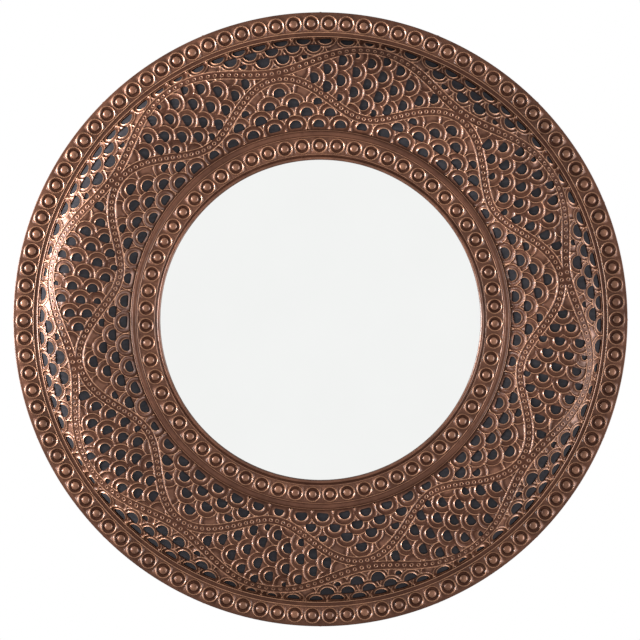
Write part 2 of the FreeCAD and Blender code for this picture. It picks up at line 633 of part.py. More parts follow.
# Hangers: a strap curled round the bar of a D-shaped wire ring, and two screws, on each side
hangers = []
for side in ("left", "right"):
    strap = new_body("hanger_strap_" + side)
    plate = sketch_on(strap, "plate_" + side, "XY_Plane", STRAP_FACE)
    half = "sizes.strap_width / 2"
    end = less("sizes.strap_width / 2", "sizes.strap_length")
    draw_outline(plate, (("-" + half, "0"), ("-" + half, end), (half, end), (half, "0")), {1: (None, 1)})
    for level in ("-sizes.hanger_screw_first", "-(sizes.hanger_screw_first + sizes.hanger_screw_pitch)"):
        draw_circle(plate, HANGER_HOLE, "0", level)
    extrude(strap, "Pad", "strap_plate_" + side, plate, "sizes.strap_wall")
    curl = sketch_on(strap, "curl_" + side, "YZ_Plane")
    draw_outline(curl, (
        ("0", plus(HINGE_LEVEL, EYE_RADIUS)),
        ("0", plus(HINGE_LEVEL, CURL_RADIUS)),
        ("0", less(HINGE_LEVEL, CURL_RADIUS)),
        ("-sizes.strap_tail", less(HINGE_LEVEL, CURL_RADIUS)),
        ("-sizes.strap_tail", less(HINGE_LEVEL, EYE_RADIUS)),
        ("0", less(HINGE_LEVEL, EYE_RADIUS)),
    ), {1: (None, -1), 5: (None, 1)})
    extrude(strap, "Pad", "strap_curl_" + side, curl, "sizes.strap_width", middle=True)

    screws = new_body("hanger_screws_" + side)
    profile = sketch_on(screws, "screw_section_" + side, "XZ_Plane")
    tip = plus(STRAP_FACE, "sizes.hanger_screw_length")
    crown = less(STRAP_FACE, "sizes.hanger_screw_head_rise")
    draw_outline(profile, (
        ("0", crown),
        ("sizes.hanger_screw_head_radius / 2", crown),
        ("sizes.hanger_screw_head_radius", STRAP_FACE),
        ("sizes.hanger_screw_radius", STRAP_FACE),
        ("sizes.hanger_screw_radius", less(tip, "sizes.hanger_screw_radius")),
        ("0", tip),
    ))
    screw = turn(screws, "Revolution", "hanger_screw_" + side, profile)
    pair = screws.newObject("PartDesign::LinearPattern", "screw_pair_" + side)
    pair.Originals = [screw]
    pair.Direction = (origin(screws, "Y_Axis"), [""])
    pair.Reversed = True
    pair.setExpression("Length", "sizes.hanger_screw_pitch")
    pair.Occurrences = 2
    screws.Tip = pair

    wires = []
    for kind, name in (("Cylinder", "bar"), ("Torus", "corner_a"), ("Torus", "corner_b"),
                       ("Cylinder", "side_a"), ("Cylinder", "side_b"), ("Torus", "bow")):
        wire = doc.addObject("Part::" + kind, "ring_%s_%s" % (name, side))
        if kind == "Cylinder":
            wire.setExpression("Radius", "sizes.wire_radius")
            wire.setExpression("Height", "sizes.ring_side")
        else:
            wire.setExpression("Radius1", "sizes.ring_corner")
            wire.setExpression("Radius2", "sizes.wire_radius")
            wire.Angle3 = 90
        wires.append(wire)
    bar, corner_a, corner_b, side_a, side_b, bow = wires
    straight = plus(half, "sizes.ring_side_gap")
    bar.setExpression("Height", "2 * " + straight)
    bow.setExpression("Radius1", RING_HALF)
    bow.Angle3 = 180
    across = FreeCAD.Rotation(Vector(0, 1, 0), 90)
    down = FreeCAD.Rotation(Vector(1, 0, 0), 90)
    reach = value(straight)
    corner = value("sizes.ring_corner")
    bar.Placement = FreeCAD.Placement(Vector(-reach, 0, 0), across)
    corner_a.Placement = FreeCAD.Placement(Vector(reach, -corner, 0), FreeCAD.Rotation())
    corner_b.Placement = FreeCAD.Placement(Vector(-reach, -corner, 0), FreeCAD.Rotation(Vector(0, 0, 1), 90))
    side_a.Placement = FreeCAD.Placement(Vector(value(RING_HALF), -corner, 0), down)
    side_b.Placement = FreeCAD.Placement(Vector(-value(RING_HALF), -corner, 0), down)
    foot = corner + value("sizes.ring_side")
    bow.Placement = FreeCAD.Placement(Vector(0, -foot, 0), FreeCAD.Rotation(Vector(0, 0, 1), 180))
    ring = doc.addObject("Part::MultiFuse", "hanger_ring_" + side)
    ring.Shapes = wires
    hangers.append((side, strap, screws, ring))

bumpers = []
for number in range(BUMPERS):
    bumper = doc.addObject("Part::Cone", "wall_bumper_%d" % (number + 1))
    bumper.setExpression("Radius1", "sizes.bumper_tip_radius")
    bumper.setExpression("Radius2", "sizes.bumper_radius")
    bumper.setExpression("Height", "sizes.wall_gap")
    bumpers.append(bumper)

# Places: the whole mirror is stood up, front toward -Y, with the wall plane at Y 0
doc.recompute()
hand_in(board, "back_board")
hand_in(core, "core_ring")
hand_in(glass, "mirror_glass")
hand_in(cushion, "glass_cushion")
for number, pad in enumerate(pads):
    hand_in(pad, pad.Name, spin(number * 360 / PADS).multiply(shift("sizes.pad_circle", "0", BOARD_FRONT)))
hand_in(band, "pierced_band", spin(KISS_ANGLE))
hand_in(brim, "outer_bead_ring")
hand_in(collar, "inner_bead_ring")
hand_in(nails, "skirt_nails")
hand_in(core_screws, "core_screws")
for side, strap, screws, ring in hangers:
    across = "-sizes.hanger_spread" if side == "left" else "sizes.hanger_spread"
    hand_in(strap, "hanger_strap_" + side, shift(across, "sizes.hanger_level"))
    hand_in(screws, "hanger_screws_" + side, shift(across, FIRST_SCREW))
    hand_in(ring, "hanger_ring_" + side, shift(across, "sizes.hanger_level", HINGE_LEVEL))
for number, bumper in enumerate(bumpers):
    angle = (number + 1 / 2) * 360 / BUMPERS
    hand_in(bumper, bumper.Name, spin(angle).multiply(shift("sizes.bumper_circle", "0")))
doc.recompute()

for item in doc.Objects:
    if "Invalid" in item.State or "Error" in item.State:
        raise RuntimeError("%s failed: %s" % (item.Name, item.State))
os.makedirs("parts", exist_ok=True)
for item in nodes:
    if item.Shape.isNull() or not item.Shape.isValid():
        raise RuntimeError("%s has no valid shape" % item.Label)
for item in nodes:
    item.Shape.exportStep("parts/%s.step" % item.Label)
    box = item.Shape.BoundBox
    print("%-22s solids %3d volume %12.1f Y %.2f to %.2f" % (
        item.Label, len(item.Shape.Solids), item.Shape.Volume, box.YMin, box.YMax))
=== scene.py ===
import math
from collections import namedtuple

import bpy
import numpy as np
from bpy.props import FloatProperty, FloatVectorProperty, IntProperty, PointerProperty
from bpy.types import Operator, Panel, PropertyGroup
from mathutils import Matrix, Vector
from mathutils.geometry import delaunay_2d_cdt


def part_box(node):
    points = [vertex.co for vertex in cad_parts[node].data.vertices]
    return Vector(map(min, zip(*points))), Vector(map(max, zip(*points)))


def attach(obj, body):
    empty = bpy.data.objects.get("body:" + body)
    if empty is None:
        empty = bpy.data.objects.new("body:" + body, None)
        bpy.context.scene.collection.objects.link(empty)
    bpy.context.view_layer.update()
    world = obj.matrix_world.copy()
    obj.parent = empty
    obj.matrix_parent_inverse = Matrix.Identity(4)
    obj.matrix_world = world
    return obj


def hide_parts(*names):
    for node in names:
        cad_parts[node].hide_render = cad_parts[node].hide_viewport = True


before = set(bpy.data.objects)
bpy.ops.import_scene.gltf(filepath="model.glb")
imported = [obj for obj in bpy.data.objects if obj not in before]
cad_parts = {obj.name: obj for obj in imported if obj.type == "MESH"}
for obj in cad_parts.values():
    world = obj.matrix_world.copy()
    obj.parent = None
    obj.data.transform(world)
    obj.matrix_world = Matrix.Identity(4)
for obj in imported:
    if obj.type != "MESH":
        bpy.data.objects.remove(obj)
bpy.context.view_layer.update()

bl_info = {
    "name": "Accent mirror",
    "version": (1, 0, 0),
    "blender": (4, 5, 0),
    "location": "3D View > Sidebar > Mirror",
    "description": "Dresses a round accent mirror in pierced and embossed copper-finish sheet",
    "category": "Add Mesh",
}

# Levels in metres from the wall, and radii, taken from the frame where a solid shows them
SHEET_WALL = 0.001
BOARD_BACK = -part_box("back_board")[1].y
BOARD_FRONT = -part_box("back_board")[0].y
GLASS_FRONT = -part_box("mirror_glass")[0].y
CROWN_LEVEL = -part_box("pierced_band")[0].y
FLANGE_FRONT = BOARD_FRONT + SHEET_WALL
BRIM_FRONT = FLANGE_FRONT + SHEET_WALL
SEAT_FRONT = -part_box("glass_cushion")[0].y + SHEET_WALL
COLLAR_FRONT = SEAT_FRONT + SHEET_WALL
FRAME_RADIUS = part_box("outer_bead_ring")[1].x
OPENING_RADIUS = 0.211
OUTER_BEADS = 0.3905
OUTER_RIB = 0.3758
OUTER_FOOT = 0.3719
CROWN_RADIUS = 0.32855
INNER_FOOT = 0.2508
INNER_RIB = 0.2455
INNER_BEADS = 0.2298

# The domed section: two arcs that meet level at the crown
OUTER_FALL = CROWN_LEVEL - FLANGE_FRONT
INNER_FALL = CROWN_LEVEL - SEAT_FRONT
OUTER_RUN = OUTER_FOOT - CROWN_RADIUS
INNER_RUN = CROWN_RADIUS - INNER_FOOT
OUTER_BEND = (OUTER_RUN**2 + OUTER_FALL**2) / (2 * OUTER_FALL)
INNER_BEND = (INNER_RUN**2 + INNER_FALL**2) / (2 * INNER_FALL)
OUTER_ARC = OUTER_BEND * math.asin(OUTER_RUN / OUTER_BEND)
INNER_ARC = INNER_BEND * math.asin(INNER_RUN / INNER_BEND)
FLANGE_TUCK = 0.004
SHEET_LOW = -INNER_ARC - FLANGE_TUCK
SHEET_HIGH = OUTER_ARC + FLANGE_TUCK
SHEET_RUN = SHEET_HIGH - SHEET_LOW
FOOT_FLARE = 0.0013
FLARE_RUN = 0.005
FLARE_END = 0.001
FLARE_TURN = 0.3

# The pattern: eight like sectors, counted clockwise from a kiss of the two straps
UNITS = 8
UNIT_ANGLE = 360 / UNITS
KISS_ANGLE = 10.3
EDGE_ANGLE = 0.01
OUTER_STRAP = (0.010 * OUTER_ARC, 0.642 * OUTER_ARC)
INNER_STRAP = (-0.099 * INNER_ARC, -0.741 * INNER_ARC)
LENS_MIDDLE = -0.165 * INNER_ARC
LENS_ROWS = 6
LENS_COLUMNS = 10
LENS_FIRST_ANGLE = 8.6
LENS_COLUMN_ANGLE = 3.2
LENS_ROW_PITCH = 0.0275
LENS_MOVE_SHARE = 0.2
OUTER_ROWS = tuple(share * OUTER_ARC for share in (0.871, 0.616, 0.361, 0.106))
OUTER_ROW_COUNT = 10
INNER_ROWS = tuple(-share * INNER_ARC for share in (0.905, 0.715, 0.532, 0.342, 0.155))
INNER_ROW_COUNT = 7
LENS_REACH = 0.0148
OUTER_REACH = 0.0146
INNER_REACH = 0.0154
HOLE_LEAST_SHARE = 0.45
HOLE_CORNER_POWER = 10.0
LEAST_COSINE = 1e-3
LENS, OUTER, INNER, STRAP = range(4)
NO_RANK = -99
DEPTH_RANK = 0.1

# Steady scatter: the factors of its sine, and one salt for each thing that strays
SCATTER_SIZE = 43758.5453
SCATTER_KEY = 12.9898
SCATTER_SALT = 78.233
ANGLE_SALT, ALONG_SALT, TURN_SALT, HOLE_SALT, REACH_SALT, HOLLOW_SALT, AHEAD_SALT, ASIDE_SALT = range(1, 9)
HOLE_STRAY_SHARE = 0.06
REACH_STRAY_SHARE = 0.025
HOLLOW_STRAY_SHARE = 0.15
LEAN_SHARE = 0.02

# The relief: where its lines lie, their half widths and heights, and what share of each shows
CREST_SHARE = 1.2
STRAP_LINE_SHARE = 0.95
HOLE_LIP_HALF = 0.00075
HOLE_LIP_ENDS = (-0.45, 0.15)
TROUGH_PLACE = 0.0043
TROUGH_HALF = 0.0019
ARC_FOOT_PLACE = 0.0013
ARC_FOOT_HALF = 0.0008
ARC_FOOT_SHARE = 0.6
UNDER_PLACE = 0.0014
UNDER_HALF = 0.0012
TIP_START = 0.0012
TIP_END = 0.0002
DOT_LIP_HALF = 0.0005
DOT_LIP_HEIGHT = 0.0009
DIMPLE_HALF = 0.0013
DIMPLE_DEPTH = 0.0010
STRAP_DEPTH = 0.0004
RELIEF_FADE = 0.0012
LEAN_FADE = 0.004
# Painted shade in the crease at each foot of the dome: half widths of its dark bands and their share
INNER_SHADE_HALF = 0.0022
OUTER_SHADE_HALF = 0.0015
SHADE_SHARE = 0.9
WORN_SHARES = (0.88, 0.92, 1.0, 0.80)
HOLLOW_SHARES = (1.0, 0.8, 0.75, 1.0, 0.85)
BACK_HOLLOW = 0.8
WAVES = ((97, 61, 0.7), (-143, 88, 2.1), (38, -171, 4.0))
WAVE_HEIGHT = 0.00006
DENTS = ((251, 203), (187, -239))
DENT_HEIGHT = 0.00004

# The sheet's mesh: points on its lines, and spacings in metres, degrees or shares of the mesh step
SPREAD_RADIUS = 0.315
SURVEY_SLICES = 14
SURVEY_MARGIN = 4.4
STRAP_POINTS = 4001
HOLE_POINTS = 32
EDGE_POINTS = 121
SWEEP_POINTS = 300
ARC_POINTS = 90
LIP_POINTS = 40
DOT_RING_COUNTS = (1, 6, 10, 12)
DOT_RING_SHARES = (0.0, 0.5, 1.0, 1.5)
LINE_SHIFTS = (0.0, -0.0010, 0.0010)
LIP_SHIFTS = (0.0007, 0.0016)
LINE_MARGIN = 0.002
SURE_WORN = 0.6
LEAST_WORN = 0.12
EDGE_STEP_SHARE = 0.8
ROW_STEP_SHARE = 0.866
CELL_SHARE = 0.62
CELL_KEY = 100000
EDGE_MARGIN_SHARE = 0.4
HOLE_MARGIN_SHARE = 0.3
BACK_COLUMNS = 42
BACK_ROWS = 24
BACK_MARGIN = 0.0015
TINY = 1e-6
MILLIMETRES = 1000
Sector = namedtuple("Sector", "points faces back_faces sides ends attributes")

# Finishes: how far the high lines are rubbed, colours of the plain pieces, and the usual range of noise
BAND_WORN_LEVEL = 0.92
TRIM_WORN_LEVEL = 0.86
BOARD_STAIN = (0.085, 0.052, 0.034)
FOAM_GREY = (0.06, 0.06, 0.06)
RUBBER_BLACK = (0.035, 0.035, 0.036)
NAIL_BROWN = (0.16, 0.085, 0.055)
ZINC_GREY = (0.58, 0.58, 0.56)
FLOOR_TONES = ((0.80, 0.80, 0.79), (0.84, 0.84, 0.83))
NOISE_LOW = 0.3
NOISE_HIGH = 0.7
PADS = 8
BUMPERS = 4

# The stage: where the camera looks, across and up from the mirror's middle, film, lamps and floor
VIEW_ACROSS = -0.0006
VIEW_UP = 0.0001
SENSOR_WIDTH = 36.0
BEAM_SPREAD = math.radians(84)
FLOOR_RADII = (0.4, 0.9, 1.5)
FLOOR_POINTS = 96
FLOOR_LEVEL = -0.95


class BandRelief(PropertyGroup):
    """Embossed relief and holes of the pierced band."""

    ridge_height: FloatProperty(
        name="Ridge height", description="Rise of each scale's raised arc", default=0.0012, unit="LENGTH"
    )
    ridge_half: FloatProperty(
        name="Ridge half width", description="Half width of a raised line", default=0.00050, unit="LENGTH"
    )
    lip_height: FloatProperty(
        name="Lip height", description="Rise of the lip on a hole's curved side",
        default=0.0009, unit="LENGTH",
    )
    trough_depth: FloatProperty(
        name="Trough depth", description="Fall between a scale's arc and its hole",
        default=0.0007, unit="LENGTH",
    )
    strap_half: FloatProperty(
        name="Strap half width", description="Half the width of a dotted strap", default=0.0055, unit="LENGTH"
    )
    outer_dots: FloatProperty(
        name="Outer dot pitch", description="Spacing of the outer strap's dots", default=0.0094, unit="LENGTH"
    )
    inner_dots: FloatProperty(
        name="Inner dot pitch", description="Spacing of the inner strap's dots", default=0.0084, unit="LENGTH"
    )
    dot_radius: FloatProperty(
        name="Dot radius", description="Radius of a dot's raised lip", default=0.0020, unit="LENGTH"
    )
    lens_hole: FloatProperty(
        name="Lens hole", description="Radius of the holes between the straps", default=0.0073, unit="LENGTH"
    )
    lens_back: FloatProperty(
        name="Lens hole flat", description="From those holes' centres to their flat side",
        default=0.0040, unit="LENGTH",
    )
    outer_hole: FloatProperty(
        name="Outer hole", description="Radius of the holes outside the straps", default=0.0090, unit="LENGTH"
    )
    outer_back: FloatProperty(
        name="Outer hole flat", description="From those holes' centres to their flat side",
        default=0.0044, unit="LENGTH",
    )
    inner_hole: FloatProperty(
        name="Inner hole", description="Radius of the holes inside the straps", default=0.0078, unit="LENGTH"
    )
    inner_back: FloatProperty(
        name="Inner hole flat", description="From those holes' centres to their flat side",
        default=0.0040, unit="LENGTH",
    )
    stray: FloatProperty(
        name="Stray", description="How far the hand-set scales stray from their places",
        default=0.0008, unit="LENGTH",
    )
    twist: FloatProperty(
        name="Twist", description="How far the scales turn from their pointing",
        default=math.radians(9), subtype="ANGLE",
    )
    mesh_step: FloatProperty(
        name="Mesh step", description="Spacing of the sheet's points", default=0.00098, unit="LENGTH"
    )


class BeadRows(PropertyGroup):
    """Round beads of the two trim rings."""

    outer_count: IntProperty(name="Outer beads", description="Beads on the brim", default=106)
    inner_count: IntProperty(name="Inner beads", description="Beads on the collar", default=63)
    outer_radius: FloatProperty(
        name="Outer bead radius", description="Radius of a brim bead", default=0.0110, unit="LENGTH"
    )
    inner_radius: FloatProperty(
        name="Inner bead radius", description="Radius of a collar bead", default=0.0104, unit="LENGTH"
    )
    rise: FloatProperty(name="Bead rise", description="Rise of a bead's boss", default=0.0020, unit="LENGTH")


class Finishes(PropertyGroup):
    """Colours of the finishes."""

    # Recess colour: the patina in the hollows, and also the colour of the painted shade at the dome's feet
    copper_recess: FloatVectorProperty(
        name="Copper recess", description="Patina in the hollows",
        default=(0.018, 0.0045, 0.0015), subtype="COLOR",
    )
    copper_field: FloatVectorProperty(
        name="Copper field", description="Antiqued face", default=(0.079, 0.0335, 0.0195), subtype="COLOR"
    )
    copper_worn: FloatVectorProperty(
        name="Copper worn", description="Rubbed high lines", default=(0.250, 0.127, 0.074), subtype="COLOR"
    )
    black_paint: FloatVectorProperty(
        name="Black paint", description="Painted core", default=(0.0142, 0.0136, 0.0152), subtype="COLOR"
    )
    silver: FloatVectorProperty(
        name="Silver", description="Mirror silver", default=(0.89, 0.90, 0.89), subtype="COLOR"
    )


class Studio(PropertyGroup):
    """Camera and light."""

    distance: FloatProperty(name="Camera distance", description="From the wall", default=4.2, unit="LENGTH")
    elevation: FloatProperty(name="Elevation", description="Camera height in degrees", default=1.5)
    width: FloatProperty(
        name="Picture width", description="Width of the view at the brim", default=0.8437, unit="LENGTH"
    )
    left_light: FloatProperty(
        name="Left light", description="Power of the left softbox", default=76.0, unit="POWER"
    )
    front_light: FloatProperty(
        name="Front light", description="Power of the narrow softbox at the left front",
        default=10.0, unit="POWER",
    )
    right_light: FloatProperty(
        name="Right light", description="Power of the right softbox", default=54.0, unit="POWER"
    )
    fill: FloatProperty(name="Fill", description="Strength of the light from all round", default=0.48)


def rise(value, low, high):
    """Smooth step from 0 at low to 1 at high."""
    share = np.clip((value - low) / (high - low), 0, 1)
    return share * share * (3 - 2 * share)


def sheet_face(along):
    """Section of the domed sheet at lengths along it from the crown, outward: radius, level and slope.
    Radius is the crown's plus bend * sin(along / bend), level falls by bend * (1 - cos), with a small flare
    over the last of the outer foot; flat past each foot."""
    bend = np.where(along >= 0, OUTER_BEND, INNER_BEND)
    domed = np.clip(along, -INNER_ARC, OUTER_ARC)
    slope = domed / bend
    radius = CROWN_RADIUS + bend * np.sin(slope) + along - domed
    level = CROWN_LEVEL - bend * (1 - np.cos(slope))
    to_foot = along - OUTER_ARC
    level = level + FOOT_FLARE * rise(to_foot, -FLARE_RUN, 0.0) * (to_foot <= 0)
    slope = slope - FLARE_TURN * rise(to_foot, -FLARE_RUN, -FLARE_END)
    return radius, level, np.where(along == domed, slope, 0.0)


def on_dome(along, fade):
    """Share that is 1 on the dome and falls to 0 over a fade at each foot."""
    return rise(OUTER_ARC - along, 0, fade) * rise(along + INNER_ARC, 0, fade)


def stand(angle, radius, level):
    """Points of the standing mirror from a clockwise angle in degrees from the kiss, a radius and a level."""
    turn = np.radians(KISS_ANGLE - angle)
    return np.stack([radius * np.cos(turn), -level + 0 * turn, radius * np.sin(turn)], axis=-1)


def strap_line(limits, angle):
    """Centre line of a strap: a cosine between two limits with one turn a sector, and its stretch, the
    length along it per length round the ring."""
    turn = np.radians(UNITS * angle)
    swing = (limits[1] - limits[0]) / 2
    line = (limits[0] + limits[1]) / 2 - swing * np.cos(turn)
    return line, np.hypot(1.0, swing * UNITS * np.sin(turn) / sheet_face(line)[0])


def strap_offset(limits, angle, along):
    """Distance square to a strap's centre line, positive outward."""
    line, stretch = strap_line(limits, angle)
    return (along - line) / stretch


def lattice(columns, rows):
    """Column and row numbers of a lattice as two flat arrays."""
    column, row = np.meshgrid(np.arange(*columns), np.arange(rows), indexing="ij")
    return column.ravel(), row.ravel()


def scatter(key, salt):
    """Steady scatter from -1 to 1 for whole-number keys: the fraction of a large sine."""
    return 2 * np.mod(SCATTER_SIZE * np.sin(SCATTER_KEY * key + SCATTER_SALT * salt), 1.0) - 1


def scale_table(relief, number):
    """Every scale that reaches into one sector: place, zone, rank in the overlap, reach, hole and stray.
    Lens scales lie on staggered columns and move off a strap that is too near. The others lie on staggered
    rows. Holes near a strap shrink to clear it. The scale behind lies on top; those on the sector's edge
    don't stray, so that neighbours meet."""
    column, row = lattice((-2, LENS_COLUMNS + 2), LENS_ROWS)
    angle = LENS_FIRST_ANGLE + LENS_COLUMN_ANGLE * column
    along = LENS_MIDDLE + LENS_ROW_PITCH * (row - LENS_ROWS // 2 + (column % 2) / 2)
    edge = relief.strap_half - SHEET_WALL
    inner, inner_stretch = strap_line(INNER_STRAP, angle)
    outer, outer_stretch = strap_line(OUTER_STRAP, angle)
    low = inner + inner_stretch * (edge + relief.lens_hole)
    high = outer - outer_stretch * (edge + relief.lens_hole)
    aim = np.where(low > high, (low + high) / 2, np.clip(along, low, np.maximum(low, high)))
    most = LENS_MOVE_SHARE * LENS_ROW_PITCH
    moved = along + np.clip(aim - along, -most, most)
    clear = np.minimum((moved - inner) / inner_stretch, (outer - moved) / outer_stretch) - edge
    least = HOLE_LEAST_SHARE * relief.lens_hole
    pierced = (clear > least) & (column >= 0) & (column < LENS_COLUMNS)
    hole = np.clip(clear, least, relief.lens_hole)
    along = np.where(pierced, moved, along)
    key = 1000 * number + 10 * column + row
    back = relief.lens_back / relief.lens_hole
    parts = [(angle, along, LENS, -column, LENS_REACH, hole, back, pierced, key, 1.0)]
    for zone, limits, rows, count, reach, most, back in (
        (OUTER, OUTER_STRAP, OUTER_ROWS, OUTER_ROW_COUNT, OUTER_REACH, relief.outer_hole, relief.outer_back),
        (INNER, INNER_STRAP, INNER_ROWS, INNER_ROW_COUNT, INNER_REACH, relief.inner_hole, relief.inner_back),
    ):
        column, row = lattice((-2, count + 3), len(rows))
        angle = UNIT_ANGLE / count * (column + ((row + 1) % 2) / 2)
        along = np.array(rows)[row]
        clear = np.abs(strap_offset(limits, angle, along)) - relief.strap_half - SHEET_WALL
        beyond = (along > strap_line(limits, angle)[0]) == (zone == OUTER)
        pierced = beyond & (clear > HOLE_LEAST_SHARE * most)
        hole = np.clip(clear, HOLE_LEAST_SHARE * most, most)
        key = 10000 * zone + 1000 * row + (column + number * count) % (UNITS * count)
        loose = np.abs((angle + 1) % UNIT_ANGLE - 1) > EDGE_ANGLE
        parts.append((angle, along, zone, -row, reach, hole, back / most, pierced, key, loose))
    names = ("angle", "along", "zone", "rank", "reach", "hole", "back", "pierced", "key", "loose")
    table = {}
    for place, name in enumerate(names):
        table[name] = np.concatenate([np.broadcast_to(part[place], part[0].shape) for part in parts])
    key, loose = table["key"], table["loose"]
    table["radius"] = sheet_face(table["along"])[0]
    stray = relief.stray * loose
    table["angle"] = table["angle"] + np.degrees(stray * scatter(key, ANGLE_SALT) / table["radius"])
    table["along"] = table["along"] + stray * scatter(key, ALONG_SALT)
    table["turn"] = relief.twist * loose * scatter(key, TURN_SALT)
    table["hole"] = table["hole"] * (1 + HOLE_STRAY_SHARE * loose * scatter(key, HOLE_SALT))
    table["reach"] = table["reach"] * (1 + REACH_STRAY_SHARE * loose * scatter(key, REACH_SALT))
    table["back"] = table["back"] * table["hole"]
    return table


def scale_local(table, chosen, angle, along):
    """Ahead and across of points in the pointing of the chosen scales."""
    zone, turn = table["zone"][chosen], table["turn"][chosen]
    side = table["radius"][chosen] * np.radians(angle - table["angle"][chosen])
    ahead = along - table["along"][chosen]
    forward = np.where(zone == LENS, side, np.where(zone == OUTER, -ahead, ahead))
    across = np.where(zone == LENS, ahead, side)
    return forward * np.cos(turn) + across * np.sin(turn), across * np.cos(turn) - forward * np.sin(turn)


def scale_points(table, chosen, reach, bearing):
    """Angle and length along of points at a reach and a bearing from the chosen scales' pointing."""
    zone, turn = table["zone"][chosen], table["turn"][chosen]
    forward, across = reach * np.cos(bearing + turn), reach * np.sin(bearing + turn)
    ahead = np.where(zone == LENS, across, np.where(zone == OUTER, -forward, forward))
    side = np.where(zone == LENS, forward, across)
    return table["angle"][chosen] + np.degrees(side / table["radius"][chosen]), table["along"][chosen] + ahead


def hole_edge(table, chosen, bearing):
    """Outline of the chosen scales' D-shaped holes by bearing from their pointing: the smooth least of a
    circle and a flat behind."""
    flat = np.maximum(-np.cos(bearing), LEAST_COSINE) / table["back"][chosen]
    round_side = table["hole"][chosen] ** -HOLE_CORNER_POWER
    return (round_side + flat**HOLE_CORNER_POWER) ** (-1 / HOLE_CORNER_POWER)


def bell(distance, half):
    """Rounded ridge: exp of minus half the square of distance over half width."""
    return np.exp(-0.5 * (distance / half) ** 2)


def strongest(shares, layers):
    """Greatest of several layers, each times its share."""
    return np.max([share * layer for share, layer in zip(shares, layers)], axis=0)


def dot_places(limits, pitch):
    """Angles of the punched dots: equal steps of length along a strap, none on the sector's edge."""
    angle = np.linspace(0, UNIT_ANGLE, STRAP_POINTS)
    line = strap_line(limits, angle)[0]
    middle = sheet_face((line[1:] + line[:-1]) / 2)[0]
    run = np.hypot(np.diff(line), middle * np.radians(np.diff(angle)))
    length = np.concatenate([[0], np.cumsum(run)])
    count = round(length[-1] / pitch)
    return np.interp((np.arange(count) + 0.5) / count * length[-1], length, angle)


def survey(relief, table, dots, angle, along):
    """Relief at points of one sector, in slices by angle, each against the scales and dots near it."""
    order = np.argsort(angle, kind="stable")
    found = []
    for part in np.array_split(order, SURVEY_SLICES):
        first, last = angle[part].min() - SURVEY_MARGIN, angle[part].max() + SURVEY_MARGIN
        near = np.flatnonzero((table["angle"] > first) & (table["angle"] < last))
        few = {name: column[near] for name, column in table.items()}
        spots = [(limits, places[(places > first) & (places < last)]) for limits, places in dots]
        height, worn, hollow, owner, forward, across = relief_at(relief, few, spots, angle[part], along[part])
        found.append((height, worn, hollow, near[owner], forward, across))
    back = np.argsort(order, kind="stable")
    return [np.concatenate(column)[back] for column in zip(*found)]


